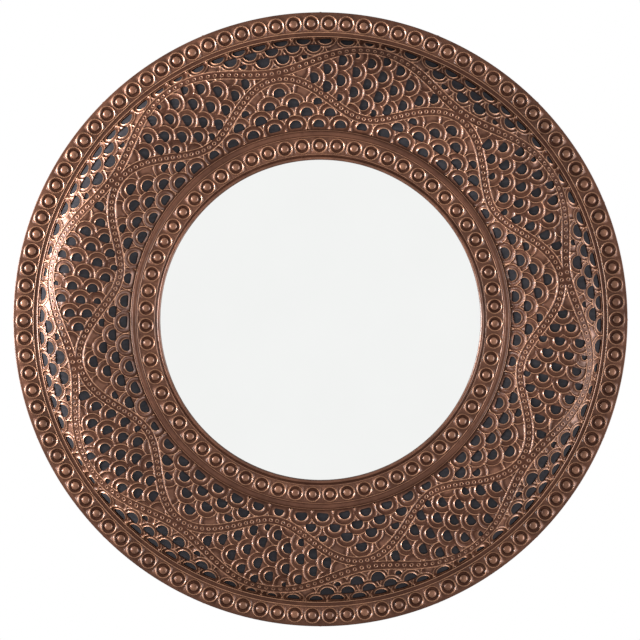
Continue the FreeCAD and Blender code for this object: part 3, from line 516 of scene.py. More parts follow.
def relief_at(relief, table, dots, angle, along):
    """Relief of one slice. The scale on top owns a point, and a raised arc shows where no scale of higher
    rank lies over it. Height sums ridges, the lip on a hole's curved side, the trough between them, the
    straps' edge lines and ringed dots. The hollow share holds the patina in the recesses and also a painted
    shade in the crease where the dome meets each rib. Returns height, worn and hollow shares, the owner and
    the place in it."""
    half, ridge = relief.strap_half, relief.ridge_half
    outer = strap_offset(OUTER_STRAP, angle, along)
    inner = strap_offset(INNER_STRAP, angle, along)
    zone = np.full(angle.shape, STRAP)
    zone[outer > half] = OUTER
    zone[inner < -half] = INNER
    zone[(outer < -half) & (inner > half)] = LENS
    side = table["radius"] * np.radians(angle[:, None] - table["angle"])
    gap = np.hypot(side, along[:, None] - table["along"]) - table["reach"]
    mine = zone[:, None] == table["zone"]
    order = np.where(mine & (gap < 0), table["rank"] - DEPTH_RANK * (1 + gap / table["reach"]), NO_RANK)
    owner = np.argmax(order, axis=1)
    pick = np.arange(len(owner)), owner
    owned = order[pick] > NO_RANK
    rank = np.where(owned, table["rank"][owner], NO_RANK + 1)
    shows = mine & (gap >= 0) & (table["rank"] >= rank[:, None])
    shows[pick] = owned
    crest = CREST_SHARE * ridge
    arcs = np.max(np.where(shows, bell(gap + crest, ridge), 0), axis=1)

    own_gap = gap[pick]
    forward, across = scale_local(table, owner, angle, along)
    bearing = np.arctan2(across, forward)
    rim = np.hypot(forward, across) - hole_edge(table, owner, bearing)
    curved = rise(np.cos(bearing), *HOLE_LIP_ENDS)
    lip = np.where(owned & table["pierced"][owner], bell(rim, HOLE_LIP_HALF) * curved, 0)
    trough = np.where(owned, bell(own_gap + TROUGH_PLACE, TROUGH_HALF), 0)
    foot = np.where(owned, bell(own_gap + crest + ARC_FOOT_PLACE, ARC_FOOT_HALF), 0)
    under = np.max(np.where(shows, bell(gap - UNDER_PLACE, UNDER_HALF), 0), axis=1)

    lines = np.maximum(bell(outer - half, ridge), bell(inner + half, ridge))
    tip = rise(np.minimum(-outer, inner), half - TIP_START, half - TIP_END)
    inside = np.maximum(bell(outer + half, ridge), bell(inner - half, ridge)) * tip
    lines = np.maximum(lines, inside)
    spot = np.full(angle.shape, 1.0)
    for limits, places in dots:
        line = strap_line(limits, places)[0]
        away = np.hypot(sheet_face(line)[0] * np.radians(angle[:, None] - places), along[:, None] - line)
        spot = np.minimum(spot, away.min(axis=1))
    dot_lip = bell(spot - relief.dot_radius, DOT_LIP_HALF)
    dimple = bell(spot, DIMPLE_HALF)
    strap = (zone == STRAP) * (1 - lines)

    domed = on_dome(along, RELIEF_FADE)
    ridges = np.maximum(arcs, STRAP_LINE_SHARE * lines)
    height = np.maximum(relief.ridge_height * ridges, relief.lip_height * lip)
    height = height - relief.trough_depth * np.maximum(trough, ARC_FOOT_SHARE * foot) * (1 - arcs)
    height = height + DOT_LIP_HEIGHT * dot_lip - DIMPLE_DEPTH * dimple - STRAP_DEPTH * strap
    worn = strongest(WORN_SHARES, (arcs, lines, lip, dot_lip))
    uneven = HOLLOW_STRAY_SHARE * np.where(owned, scatter(table["key"][owner], HOLLOW_SALT), 0)
    hollow = strongest(HOLLOW_SHARES, (foot, trough, under, dimple, strap)) * (1 - worn) * (1 + uneven)
    # Painted shade: a dark band in the crease where the dome meets each rib, carried in the hollow share so
    # it takes the recess colour
    shade = np.maximum(bell(along + INNER_ARC, INNER_SHADE_HALF), bell(OUTER_ARC - along, OUTER_SHADE_HALF))
    hollow = np.maximum(hollow * domed, SHADE_SHARE * shade)
    return height * domed, worn * domed, hollow, owner, forward * owned, across * owned


def hole_rims(relief, table):
    """Outlines of the holes in one sector, cut in half on the sector's edge, and the sector's own edges.
    Returns the rim points, their fixed edges and the hole that each is on, or -1."""
    step = relief.mesh_step
    inside = (table["angle"] > -EDGE_ANGLE) & (table["angle"] < UNIT_ANGLE + EDGE_ANGLE)
    chosen = np.flatnonzero(table["pierced"] & inside)
    bearing = np.linspace(0, 2 * math.pi, HOLE_POINTS, endpoint=False)
    reach = hole_edge(table, chosen[:, None], bearing)
    hole_angle, hole_along = scale_points(table, chosen[:, None], reach, bearing)
    edge_along = np.linspace(SHEET_LOW, SHEET_HIGH, round(SHEET_RUN / (EDGE_STEP_SHARE * step)))
    rims, edges, holes = [], [], []
    count = 0
    for ring_angle, ring_along, centre in zip(hole_angle, hole_along, table["angle"][chosen]):
        keep = np.ones(len(bearing), bool)
        on_edge = abs(centre) < EDGE_ANGLE or abs(centre - UNIT_ANGLE) < EDGE_ANGLE
        if on_edge:
            keep = (ring_angle > -TINY) & (ring_angle < UNIT_ANGLE + TINY)
            ring_angle = np.where(np.abs(ring_angle) < TINY, 0.0, ring_angle)
            ring_angle = np.where(np.abs(ring_angle - UNIT_ANGLE) < TINY, UNIT_ANGLE, ring_angle)
            margin = HOLE_MARGIN_SHARE * step
            first, last = ring_along.min() - margin, ring_along.max() + margin
            edge_along = edge_along[(edge_along < first) | (edge_along > last)]
        start = np.flatnonzero(keep & ~np.roll(keep, 1))
        picks = np.roll(np.arange(len(bearing)), -start[0] if len(start) else 0)
        picks = picks[keep[picks]]
        rims.append(np.stack([ring_angle[picks], ring_along[picks]], axis=1))
        numbers = count + np.arange(len(picks))
        pairs = np.stack([numbers, np.roll(numbers, -1)], axis=1)
        edges.append(pairs[:-1] if on_edge else pairs)
        holes.append(np.full(len(picks), len(holes)))
        count += len(picks)
    across = np.linspace(0, UNIT_ANGLE, EDGE_POINTS)[1:-1]
    for fixed in (0.0, UNIT_ANGLE):
        rims.append(np.stack([np.full(len(edge_along), fixed), edge_along], axis=1))
    for fixed in (SHEET_LOW, SHEET_HIGH):
        rims.append(np.stack([across, np.full(len(across), fixed)], axis=1))
    rim = np.concatenate(rims)
    return rim, np.concatenate(edges), np.concatenate([*holes, np.full(len(rim) - count, -1)])


def line_points(relief, table, dots):
    """Points along the raised lines: rings round the dots, then the crest and both feet of the straps' lines,
    the scales' arcs and the holes' lips, kept where the relief shows them."""
    ring = np.concatenate([np.arange(n) / n * 2 * math.pi for n in DOT_RING_COUNTS])
    size = np.repeat(relief.dot_radius * np.array(DOT_RING_SHARES), DOT_RING_COUNTS)
    spots, groups = [], []
    for limits, places in dots:
        line = strap_line(limits, places)[0]
        angle = places[:, None] + np.degrees(size * np.cos(ring) / sheet_face(line)[0][:, None])
        spots.append(np.stack([angle.ravel(), (line[:, None] + size * np.sin(ring)).ravel()]))
    sweep = np.linspace(0, UNIT_ANGLE, SWEEP_POINTS)[1:-1]
    every = np.arange(len(table["angle"]))[:, None]
    holed = np.flatnonzero(table["pierced"])[:, None]
    bearing = np.linspace(-math.pi, math.pi, ARC_POINTS, endpoint=False)
    for shift in LINE_SHIFTS:
        for limits in (OUTER_STRAP, INNER_STRAP):
            line, stretch = strap_line(limits, sweep)
            for side in (-1, 1):
                groups.append(np.stack([sweep, line + side * stretch * relief.strap_half + shift]))
        reach = table["reach"][every] - CREST_SHARE * relief.ridge_half + shift
        groups.append(np.stack(scale_points(table, every, reach, bearing)).reshape(2, -1))
    bearing = np.linspace(-math.pi, math.pi, LIP_POINTS, endpoint=False)
    for shift in LIP_SHIFTS:
        reach = hole_edge(table, holed, bearing) + shift
        groups.append(np.stack(scale_points(table, holed, reach, bearing)).reshape(2, -1))
    angle, along = np.concatenate(groups, axis=1)
    inside = (angle > 0) & (angle < UNIT_ANGLE)
    inside &= (along > -INNER_ARC - LINE_MARGIN) & (along < OUTER_ARC + LINE_MARGIN)
    angle, along = angle[inside], along[inside]
    worn = survey(relief, table, dots, angle, along)[1]
    first = np.argsort(worn < SURE_WORN, kind="stable")
    first = first[worn[first] > LEAST_WORN]
    return np.concatenate([*spots, np.stack([angle[first], along[first]])], axis=1)


def inner_points(relief, table, dots):
    """Points inside one flat sector: those on the raised lines first, then an even field, one a cell."""
    step = relief.mesh_step
    columns = round(np.radians(UNIT_ANGLE) * SPREAD_RADIUS / step)
    rows = round(SHEET_RUN / (step * ROW_STEP_SHARE))
    column, row = np.meshgrid(np.arange(columns), np.arange(1, rows), indexing="ij")
    field_angle = (column + 0.25 + 0.5 * (row % 2)) / columns * UNIT_ANGLE
    field = np.stack([field_angle.ravel(), (SHEET_LOW + row * SHEET_RUN / rows).ravel()])
    angle, along = np.concatenate([line_points(relief, table, dots), field], axis=1)
    cell = CELL_SHARE * step
    key = np.floor(np.radians(angle) * SPREAD_RADIUS / cell) * CELL_KEY + np.floor((along - SHEET_LOW) / cell)
    lone = np.sort(np.unique(key, return_index=True)[1])
    angle, along = angle[lone], along[lone]
    margin = EDGE_MARGIN_SHARE * step
    kept = np.minimum(angle, UNIT_ANGLE - angle) > np.degrees(margin / SPREAD_RADIUS)
    kept &= np.minimum(along - SHEET_LOW, SHEET_HIGH - along) > margin
    kept &= hole_clearance(table, angle, along) > HOLE_MARGIN_SHARE * step
    return np.stack([angle[kept], along[kept]], axis=1)


def hole_clearance(table, angle, along):
    """Distance from the nearest hole's outline, along the bearing from its centre; less than 0 inside."""
    chosen = np.flatnonzero(table["pierced"])
    forward, across = scale_local(table, chosen, angle[:, None], along[:, None])
    edge = hole_edge(table, chosen, np.arctan2(across, forward))
    return np.min(np.hypot(forward, across) - edge, axis=1)


def triangulate(points, edges, holes):
    """Flat triangles over a sector's points that keep the hole outlines and leave the holes open.
    An outline is convex and has no point inside, so a triangle on one outline alone fills a hole."""
    flat = np.stack([np.radians(points[:, 0]) * SPREAD_RADIUS, points[:, 1]], axis=1) * MILLIMETRES
    made = delaunay_2d_cdt(flat.tolist(), edges.tolist(), [], 0, TINY, True)
    source = np.array([ids[0] for ids in made[3]])
    faces = source[np.array(made[2])]
    owner = np.concatenate([holes, np.full(len(points) - len(holes), -1)])[faces]
    filled = (owner[:, 0] >= 0) & (owner[:, 0] == owner[:, 1]) & (owner[:, 0] == owner[:, 2])
    return faces[~filled]


def open_edges(faces):
    """Directed edges that only one triangle uses."""
    pairs = np.concatenate([faces[:, (0, 1)], faces[:, (1, 2)], faces[:, (2, 0)]])
    size = faces.max() + 1
    return pairs[~np.isin(pairs[:, 0] * size + pairs[:, 1], pairs[:, 1] * size + pairs[:, 0])]


def face_sum(points, faces):
    """Sum of the area normals of the triangles round each point."""
    corners = points[faces]
    normal = np.cross(corners[:, 1] - corners[:, 0], corners[:, 2] - corners[:, 0])
    total = np.zeros_like(points)
    for corner in range(3):
        np.add.at(total, faces[:, corner], normal)
    return total


def unit(vectors):
    """Vectors at length one."""
    return vectors / np.maximum(np.linalg.norm(vectors, axis=-1, keepdims=True), 1e-12)


def hand_wave(points):
    """Hand-beaten unevenness: a few slow sine waves and dents across the face, in metres."""
    x, z = points[..., 0], points[..., 2]
    wave = sum(np.sin(by_x * x + by_z * z + phase) for by_x, by_z, phase in WAVES)
    dent = math.prod((np.sin(by_x * x + by_z * z) for by_x, by_z in DENTS), start=DENT_HEIGHT)
    return WAVE_HEIGHT * wave + dent


def make_mesh(name, points, polygons, attributes, normals=None, sharp=None):
    """Mesh from point rows and polygon tables of like size, with point attributes and smooth shading."""
    mesh = bpy.data.meshes.new(name)
    mesh.vertices.add(len(points))
    mesh.vertices.foreach_set("co", np.ascontiguousarray(points, np.float32).ravel())
    corners = np.concatenate([table.ravel() for table in polygons])
    sizes = np.concatenate([np.full(len(table), table.shape[1]) for table in polygons])
    mesh.loops.add(len(corners))
    mesh.loops.foreach_set("vertex_index", corners.astype(np.int32))
    mesh.polygons.add(len(sizes))
    mesh.polygons.foreach_set("loop_start", (np.cumsum(sizes) - sizes).astype(np.int32))
    for key, values in attributes.items():
        layer = mesh.attributes.new(key, "FLOAT", "POINT")
        layer.data.foreach_set("value", np.ascontiguousarray(values, np.float32))
    mesh.update(calc_edges=True)
    if mesh.validate(clean_customdata=False):
        raise RuntimeError("faulty faces in " + name)
    mesh.polygons.foreach_set("use_smooth", np.ones(len(sizes), bool))
    if normals is not None:
        mesh.normals_split_custom_set(normals)
    if sharp is not None:
        mesh.set_sharp_from_angle(angle=sharp)
    mesh.update()
    return mesh


def add_piece(mesh, material, node):
    """Object for a mesh that stands for a CAD node and rides on the frame."""
    piece = bpy.data.objects.new(mesh.name, mesh)
    bpy.context.scene.collection.objects.link(piece)
    mesh.materials.append(material)
    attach(piece, "frame")
    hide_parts(node)
    return piece


def feed(tree, node, inputs):
    """Sets a node's inputs by name or number: a link from a socket, or else a plain value."""
    for key, value in inputs.items():
        if isinstance(value, bpy.types.NodeSocket):
            tree.links.new(value, node.inputs[key])
        else:
            node.inputs[key].default_value = value


def add_node(tree, kind, inputs=None, **settings):
    """Shader node with its settings and inputs."""
    node = tree.nodes.new(kind)
    for key, setting in settings.items():
        setattr(node, key, setting)
    feed(tree, node, inputs or {})
    return node


def new_finish(name):
    """Empty material, its tree, its shader and the object's own coordinates."""
    finish = bpy.data.materials.new(name)
    finish.use_nodes = True
    tree = finish.node_tree
    place = add_node(tree, "ShaderNodeTexCoord").outputs["Object"]
    return finish, tree, tree.nodes["Principled BSDF"], place


def blend_colour(tree, share, first, second):
    """Mix of two colours by a share."""
    ends = [end if isinstance(end, bpy.types.NodeSocket) else (*end, 1.0) for end in (first, second)]
    mix = add_node(tree, "ShaderNodeMix", {"Factor": share, "A": ends[0], "B": ends[1]}, data_type="RGBA")
    return mix.outputs["Result"]


def two_tone(tree, share, colour, dark, light):
    """Colour that goes from a darker to a lighter tone of itself by a share."""
    return blend_colour(tree, share, tuple(dark * c for c in colour), tuple(light * c for c in colour))


def remap(tree, value, low, high, out_low, out_high):
    """Value carried from one range to another, held at the ends."""
    node = add_node(
        tree, "ShaderNodeMapRange",
        {"Value": value, "From Min": low, "From Max": high, "To Min": out_low, "To Max": out_high},
    )
    return node.outputs["Result"]


def cloud(tree, place, scale, detail=3.0, rough=0.55):
    """Soft noise on the object's own coordinates."""
    node = add_node(
        tree, "ShaderNodeTexNoise", {"Vector": place, "Scale": scale, "Detail": detail, "Roughness": rough}
    )
    return node.outputs["Fac"]


def from_noise(tree, noise, low, high):
    """Soft noise's usual range carried to another."""
    return remap(tree, noise, NOISE_LOW, NOISE_HIGH, low, high)


def sum_of(tree, operation, first, second):
    """Two values added, multiplied or compared."""
    return add_node(tree, "ShaderNodeMath", {0: first, 1: second}, operation=operation).outputs["Value"]


def bumps(tree, height, strength, distance):
    """Normal of a face that a height roughens."""
    inputs = {"Strength": strength, "Distance": distance, "Height": height}
    return add_node(tree, "ShaderNodeBump", inputs).outputs["Normal"]


def antiqued_copper(name, colours, worn_level):
    """Antiqued copper: dark patina in the hollows, where the band's hollow share also carries a painted shade
    at the dome's feet; rubbed lines on the high places, clouded and speckled.
    """
    finish, tree, shader, place = new_finish(name)
    worn = add_node(tree, "ShaderNodeAttribute", attribute_name="worn").outputs["Fac"]
    hollow = add_node(tree, "ShaderNodeAttribute", attribute_name="hollow").outputs["Fac"]
    patches = cloud(tree, place, 24.0)
    smudges = cloud(tree, place, 75.0, 4.0, 0.6)
    specks = cloud(tree, place, 420.0, 4.0, 0.65)
    streaks = cloud(tree, place, 130.0, 3.0, 0.6)
    recess = tuple(colours.copper_recess)
    base = two_tone(tree, remap(tree, patches, 0.36, 0.66, 0.0, 1.0), colours.copper_field, 0.78, 1.25)
    base = blend_colour(tree, remap(tree, smudges, 0.50, 0.72, 0.0, 0.55), base, recess)
    # Hollow share darkens towards the recess colour: patina in the recesses, and on the band a painted shade
    # at the dome's feet
    dark = sum_of(tree, "MULTIPLY", hollow, from_noise(tree, streaks, 0.7, 1.0))
    base = blend_colour(tree, dark, base, recess)
    uneven = sum_of(tree, "ADD", worn, from_noise(tree, streaks, -0.10, 0.10))
    rubbed = remap(tree, uneven, 0.40, 0.90, 0.0, worn_level)
    base = blend_colour(tree, rubbed, base, tuple(colours.copper_worn))
    base = blend_colour(tree, remap(tree, specks, 0.60, 0.72, 0.0, 0.45), base, recess)
    rough = sum_of(tree, "ADD", from_noise(tree, streaks, 0.36, 0.50), sum_of(tree, "MULTIPLY", hollow, 0.12))
    feed(tree, shader, {
        "Base Color": base,
        "Roughness": rough,
        "Metallic": 0.5,
        "Specular IOR Level": 0.1,
        "Coat Weight": remap(tree, hollow, 0.0, 1.0, 0.30, 0.06),
        "Coat Roughness": 0.16,
        "Normal": bumps(tree, specks, 0.25, 0.0004),
    })
    return finish


def painted_wood(name, colour, sheen_rough, grain, gloss):
    """Painted or stained wood: long grain along X, slightly uneven gloss."""
    finish, tree, shader, place = new_finish(name)
    drawn_out = add_node(tree, "ShaderNodeMapping", {"Vector": place, "Scale": (3.0, 40.0, 40.0)})
    lines = cloud(tree, drawn_out.outputs["Vector"], 6.0, 6.0, 0.65)
    patches = cloud(tree, place, 14.0)
    feed(tree, shader, {
        "Base Color": two_tone(tree, remap(tree, lines, 0.32, 0.68, 0.0, 1.0), colour, 1 - grain, 1 + grain),
        "Roughness": from_noise(tree, patches, sheen_rough - 0.06, sheen_rough + 0.06),
        "Specular IOR Level": gloss,
        "Normal": bumps(tree, lines, 0.2, 0.0005),
    })
    return finish


def silvered_glass(name, colour):
    """Silvered glass: near perfect gloss with the faintest unevenness of hand-wiped glass."""
    finish, tree, shader, place = new_finish(name)
    haze = cloud(tree, place, 9.0)
    feed(tree, shader, {
        "Base Color": two_tone(tree, from_noise(tree, haze, 0.0, 1.0), colour, 0.99, 1.005),
        "Roughness": from_noise(tree, haze, 0.004, 0.012),
        "Metallic": 1.0,
    })
    return finish


def plain_metal(name, colour, rough, metallic=1.0):
    """Plated or browned steel with fine scratches and clouded gloss."""
    finish, tree, shader, place = new_finish(name)
    cloudy = cloud(tree, place, 90.0)
    fine = cloud(tree, place, 900.0, 3.0, 0.6)
    feed(tree, shader, {
        "Base Color": two_tone(tree, from_noise(tree, cloudy, 0.0, 1.0), colour, 0.82, 1.12),
        "Roughness": from_noise(tree, fine, rough - 0.07, rough + 0.08),
        "Metallic": metallic,
        "Normal": bumps(tree, fine, 0.15, 0.0002),
    })
    return finish


def soft_stuff(name, colour, grain_scale):
    """Rubber or foam: matt, finely grained."""
    finish, tree, shader, place = new_finish(name)
    grain = cloud(tree, place, grain_scale, 4.0, 0.7)
    feed(tree, shader, {
        "Base Color": two_tone(tree, from_noise(tree, grain, 0.0, 1.0), colour, 0.7, 1.3),
        "Roughness": from_noise(tree, grain, 0.62, 0.82),
        "Normal": bumps(tree, grain, 0.35, 0.0003),
    })
    return finish


def dress(finish, *names):
    """Gives CAD nodes a finish."""
    for name in names:
        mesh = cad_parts[name].data
        mesh.materials.clear()
        mesh.materials.append(finish)


# Bead section: share of the bead's radius, share of its rise, worn share and hollow share
BEAD_SECTION = np.array((
    (0.00, 1.00, 0.47, 0.00),
    (0.26, 0.96, 0.47, 0.00),
    (0.44, 0.78, 0.50, 0.05),
    (0.50, 0.16, 0.08, 0.95),
    (0.58, -0.28, 0.00, 1.00),
    (0.77, -0.20, 0.00, 1.00),
    (0.86, 0.46, 0.58, 0.20),
    (0.94, 0.74, 0.82, 0.00),
    (1.00, 0.10, 0.40, 0.45),
))
BEAD_SIDE = 4
RAYS = 4 * BEAD_SIDE
CELL_MARGIN = 0.0002
CELL_HOLLOW = 0.5

# Rib sections: share of the half width, share of the rise, worn share and hollow share, middle to side
TWIN_RIB = (
    (0.00, 0.30, 0.05, 0.70),
    (0.45, 0.30, 0.00, 0.90),
    (0.62, 0.55, 0.35, 0.35),
    (0.74, 0.95, 0.85, 0.00),
    (0.88, 1.00, 0.90, 0.00),
    (0.95, 0.75, 0.65, 0.00),
    (1.00, 0.10, 0.15, 0.55),
)
ROUND_RIB = (
    (0.00, 1.00, 0.10, 0.50),
    (0.30, 0.95, 0.08, 0.55),
    (0.45, 0.84, 0.40, 0.50),
    (0.54, 0.68, 0.00, 1.00),
    (0.70, 0.58, 0.00, 1.00),
    (0.80, 0.60, 0.74, 0.05),
    (0.90, 0.36, 0.40, 0.30),
    (1.00, 0.00, 0.00, 1.00),
)
LIP_RIB = (
    (0.00, 1.00, 0.12, 0.10),
    (0.35, 0.94, 0.10, 0.10),
    (0.65, 0.72, 0.05, 0.30),
    (0.85, 0.42, 0.00, 0.60),
    (1.00, 0.00, 0.00, 1.00),
)

# Groove beside the rolled lip: metres out from the opening, metres up from the collar, worn and hollow share
COLLAR_GROOVE = (
    (0.0050, -0.0006, 0.00, 1.00),
    (0.0063, -0.0006, 0.00, 1.00),
    (0.0069, 0.0001, 0.30, 0.30),
    (0.0074, 0.0004, 0.75, 0.00),
    (0.0079, 0.0001, 0.10, 0.50),
)
OUTER_RIB_HALF = 0.0035
OUTER_RIB_RISE = 0.0010
INNER_RIB_HALF = 0.005
INNER_RIB_RISE = 0.0022
LIP_RIB_HALF = 0.0022
LIP_RIB_RISE = 0.0016
LIP_CLEARANCE = 0.0003
BRIM_EDGE = 0.0009
BRIM_EDGE_POINTS = 6
SHARP_ANGLE = math.radians(62)


def bead_ring_mesh(name, count, circle, bead, bead_rise, level, inner_lines, outer_lines):
    """Trim ring: round sections swept about the axis, with a row of square cells between them whose points
    run from a bead's centre along 16 rays to the cell's sides. Lines are radius, level, worn, hollow, inner
    to outer over the front and back underneath; cell lines stand at the bead row's two sides."""
    pitch = 360 / count
    half_side, step = BEAD_SIDE // 2, 360 / RAYS
    tangent = np.tan(np.radians(np.arange(-half_side, half_side) * step))
    angles = (pitch * (np.arange(count)[:, None] + tangent / 2)).ravel()
    around = len(angles)
    half = bead + CELL_MARGIN
    cell_line = len(inner_lines)
    cell_lines = [(circle + side * half, level, 0.0, CELL_HOLLOW) for side in (-1, 1)]
    lines = np.array(inner_lines + cell_lines + outer_lines)
    swept = stand(angles[None, :], lines[:, :1], lines[:, 1:2]).reshape(-1, 3)
    here = np.arange(around)
    ahead = np.roll(here, -1)
    base = around * np.delete(np.arange(len(lines)), cell_line)[:, None]
    after = (base + around) % len(swept)
    swept_quads = np.stack([base + here, base + ahead, after + ahead, after + here], axis=-1)

    side_share = np.tan(np.radians(np.arange(1 - half_side, half_side) * step))
    starts = pitch * (np.arange(count) - 0.5)
    side_level = np.full(side_share.shape, level)
    sides = stand(starts[:, None], circle + half * side_share, side_level).reshape(-1, 3)
    shares = BEAD_SECTION[1:]
    bearing = np.radians(np.arange(RAYS) * step)
    centre = pitch * np.arange(count)
    across = bead * shares[:, 0, None] * np.cos(bearing)
    out = bead * shares[:, 0, None] * np.sin(bearing)
    bead_angle = centre[:, None, None] + np.degrees(across / circle)
    bead_level = (level + bead_rise * shares[:, 1])[:, None]
    beads = stand(bead_angle, circle + out, bead_level).reshape(-1, 3)
    poles = stand(centre, circle, level + bead_rise * BEAD_SECTION[0, 1])
    points = np.concatenate([swept, sides, beads, poles])
    side_base, bead_base, pole_base = np.cumsum([len(swept), len(sides), len(beads)])
    looks = np.concatenate([
        np.repeat(lines[:, 2:], around, axis=0),
        np.tile((0.0, CELL_HOLLOW), (len(sides), 1)),
        np.broadcast_to(shares[:, None, 2:], (count, len(shares), RAYS, 2)).reshape(-1, 2),
        np.tile(BEAD_SECTION[0, 2:], (count, 1)),
    ])

    cell = np.arange(count)[:, None]
    bottom = cell_line * around + (cell * BEAD_SIDE + np.arange(BEAD_SIDE + 1)) % around
    top = bottom + around
    left = side_base + np.arange(len(sides)).reshape(count, -1)
    right = np.roll(left, -1, axis=0)
    edge = np.concatenate(
        [right[:, half_side - 1:], top[:, ::-1], left[:, ::-1], bottom, right[:, :half_side - 1]], axis=1
    )
    rings = bead_base + np.arange(len(beads)).reshape(count, len(shares), RAYS)
    rings = np.concatenate([rings, edge[:, None, :]], axis=1)
    turned = np.roll(rings, -1, axis=2)
    bead_quads = np.stack([rings[:, :-1], rings[:, 1:], turned[:, 1:], turned[:, :-1]], axis=-1)
    quads = np.concatenate([swept_quads.reshape(-1, 4), bead_quads.reshape(-1, 4)])
    pole = np.broadcast_to(pole_base + cell, (count, RAYS))
    caps = np.stack([pole, rings[:, 0], turned[:, 0]], axis=-1).reshape(-1, 3)
    attributes = {"worn": looks[:, 0], "hollow": looks[:, 1]}
    return make_mesh(name, points, [quads, caps], attributes, sharp=SHARP_ANGLE)


def rib_lines(section, centre, half, height, level):
    """Rib as section lines from its inner to its outer side, the same on both sides of its middle."""
    shares = np.array(section)
    inner, outer = shares[:0:-1] * (-1, 1, 1, 1), shares
    lines = np.concatenate([inner, outer]) * (half, height, 1, 1) + (centre, level, 0, 0)
    return [tuple(line) for line in lines]


def brim_mesh(rows):
    """Beaded brim: its twin rib, the bead row, a rounded edge and the skirt down to the board's back."""
    inner_lines = [(OUTER_RIB - OUTER_RIB_HALF, FLANGE_FRONT, 0.0, 1.0)]
    inner_lines += rib_lines(TWIN_RIB, OUTER_RIB, OUTER_RIB_HALF, OUTER_RIB_RISE, BRIM_FRONT)
    outer_lines = []
    for turn in np.radians(np.linspace(0, 90, BRIM_EDGE_POINTS)):
        radius = FRAME_RADIUS - BRIM_EDGE + BRIM_EDGE * math.sin(turn)
        level = BRIM_FRONT - BRIM_EDGE + BRIM_EDGE * math.cos(turn)
        outer_lines.append((radius, level, 0.05, 0.6))
    outer_lines += [
        (FRAME_RADIUS, BOARD_BACK, 0.1, 0.5),
        (FRAME_RADIUS - SHEET_WALL, BOARD_BACK, 0.1, 0.5),
        (FRAME_RADIUS - SHEET_WALL, FLANGE_FRONT, 0.0, 1.0),
    ]
    return bead_ring_mesh(
        "beaded_brim", rows.outer_count, OUTER_BEADS, rows.outer_radius, rows.rise, BRIM_FRONT,
        inner_lines, outer_lines,
    )


def collar_mesh(rows):
    """Beaded collar: a lip down to the glass, its rolled edge, a groove, the bead row and the round rib."""
    lip_end = GLASS_FRONT + LIP_CLEARANCE
    inner_lines = [
        (OPENING_RADIUS + SHEET_WALL, SEAT_FRONT, 0.0, 1.0),
        (OPENING_RADIUS + SHEET_WALL, lip_end, 0.0, 1.0),
        (OPENING_RADIUS, lip_end, 0.0, 1.0),
    ]
    inner_lines += rib_lines(LIP_RIB, OPENING_RADIUS + LIP_RIB_HALF, LIP_RIB_HALF, LIP_RIB_RISE, COLLAR_FRONT)
    groove = np.array(COLLAR_GROOVE) + (OPENING_RADIUS, COLLAR_FRONT, 0, 0)
    inner_lines += [tuple(line) for line in groove]
    outer_lines = rib_lines(ROUND_RIB, INNER_RIB, INNER_RIB_HALF, INNER_RIB_RISE, COLLAR_FRONT)
    outer_lines += [(INNER_RIB + INNER_RIB_HALF, SEAT_FRONT, 0.0, 1.0)]
    return bead_ring_mesh(
        "beaded_collar", rows.inner_count, INNER_BEADS, rows.inner_radius, rows.rise, COLLAR_FRONT,
        inner_lines, outer_lines,
    )


def band_sector(relief, dots, number):
    """One sector of the band, worked out flat, then bent to the dome and lifted by its relief along the
    sheet's normal, with each scale leaning a little and the whole face uneven. Its back is a plain sheet a
    wall behind."""
    table = scale_table(relief, number)
    rim, edges, holes = hole_rims(relief, table)
    front = np.concatenate([rim, inner_points(relief, table, dots)])
    faces = triangulate(front, edges, holes)
    wall = open_edges(faces)
    if wall.max() >= len(rim):
        raise RuntimeError("the band's open edges leave its rim")
    back_angle = np.linspace(0, UNIT_ANGLE, BACK_COLUMNS)[1:-1]
    back_along = np.linspace(SHEET_LOW, SHEET_HIGH, BACK_ROWS)[1:-1]
    sparse = np.stack(np.meshgrid(back_angle, back_along), axis=-1).reshape(-1, 2)
    back = np.concatenate([rim, sparse[hole_clearance(table, sparse[:, 0], sparse[:, 1]) > BACK_MARGIN]])
    back_faces = triangulate(back, edges, holes)[:, ::-1] + len(front)

    height, worn, hollow, owner, forward, across = survey(relief, table, dots, front[:, 0], front[:, 1])
    ahead, aside = scatter(table["key"], AHEAD_SALT)[owner], scatter(table["key"], ASIDE_SALT)[owner]
    lean = LEAN_SHARE * (ahead * forward + aside * across) * table["loose"][owner]
    radius, level, slope = sheet_face(front[:, 1])
    spin = number * UNIT_ANGLE
    uneven = lean * (1 - worn / 2) + hand_wave(stand(front[:, 0] + spin, radius, level))
    lift = height + on_dome(front[:, 1], LEAN_FADE) * uneven
    faced = stand(front[:, 0] + spin, radius + lift * np.sin(slope), level + lift * np.cos(slope))
    radius, level, slope = sheet_face(back[:, 1])
    behind = stand(back[:, 0] + spin, radius - SHEET_WALL * np.sin(slope), level - SHEET_WALL * np.cos(slope))
    sides = np.stack([wall[:, 1], wall[:, 0], len(front) + wall[:, 0], len(front) + wall[:, 1]], axis=1)
    ends = [np.flatnonzero(rim[:, 0] == fixed) for fixed in (0.0, UNIT_ANGLE)]
    ends = [end[np.argsort(rim[end, 1], kind="stable")] for end in ends]
    attributes = {
        "worn": np.concatenate([worn, np.zeros(len(back))]),
        "hollow": np.concatenate([hollow, np.full(len(back), BACK_HOLLOW)]),
    }
    return Sector(np.concatenate([faced, behind]), faces, back_faces, sides, ends, attributes)


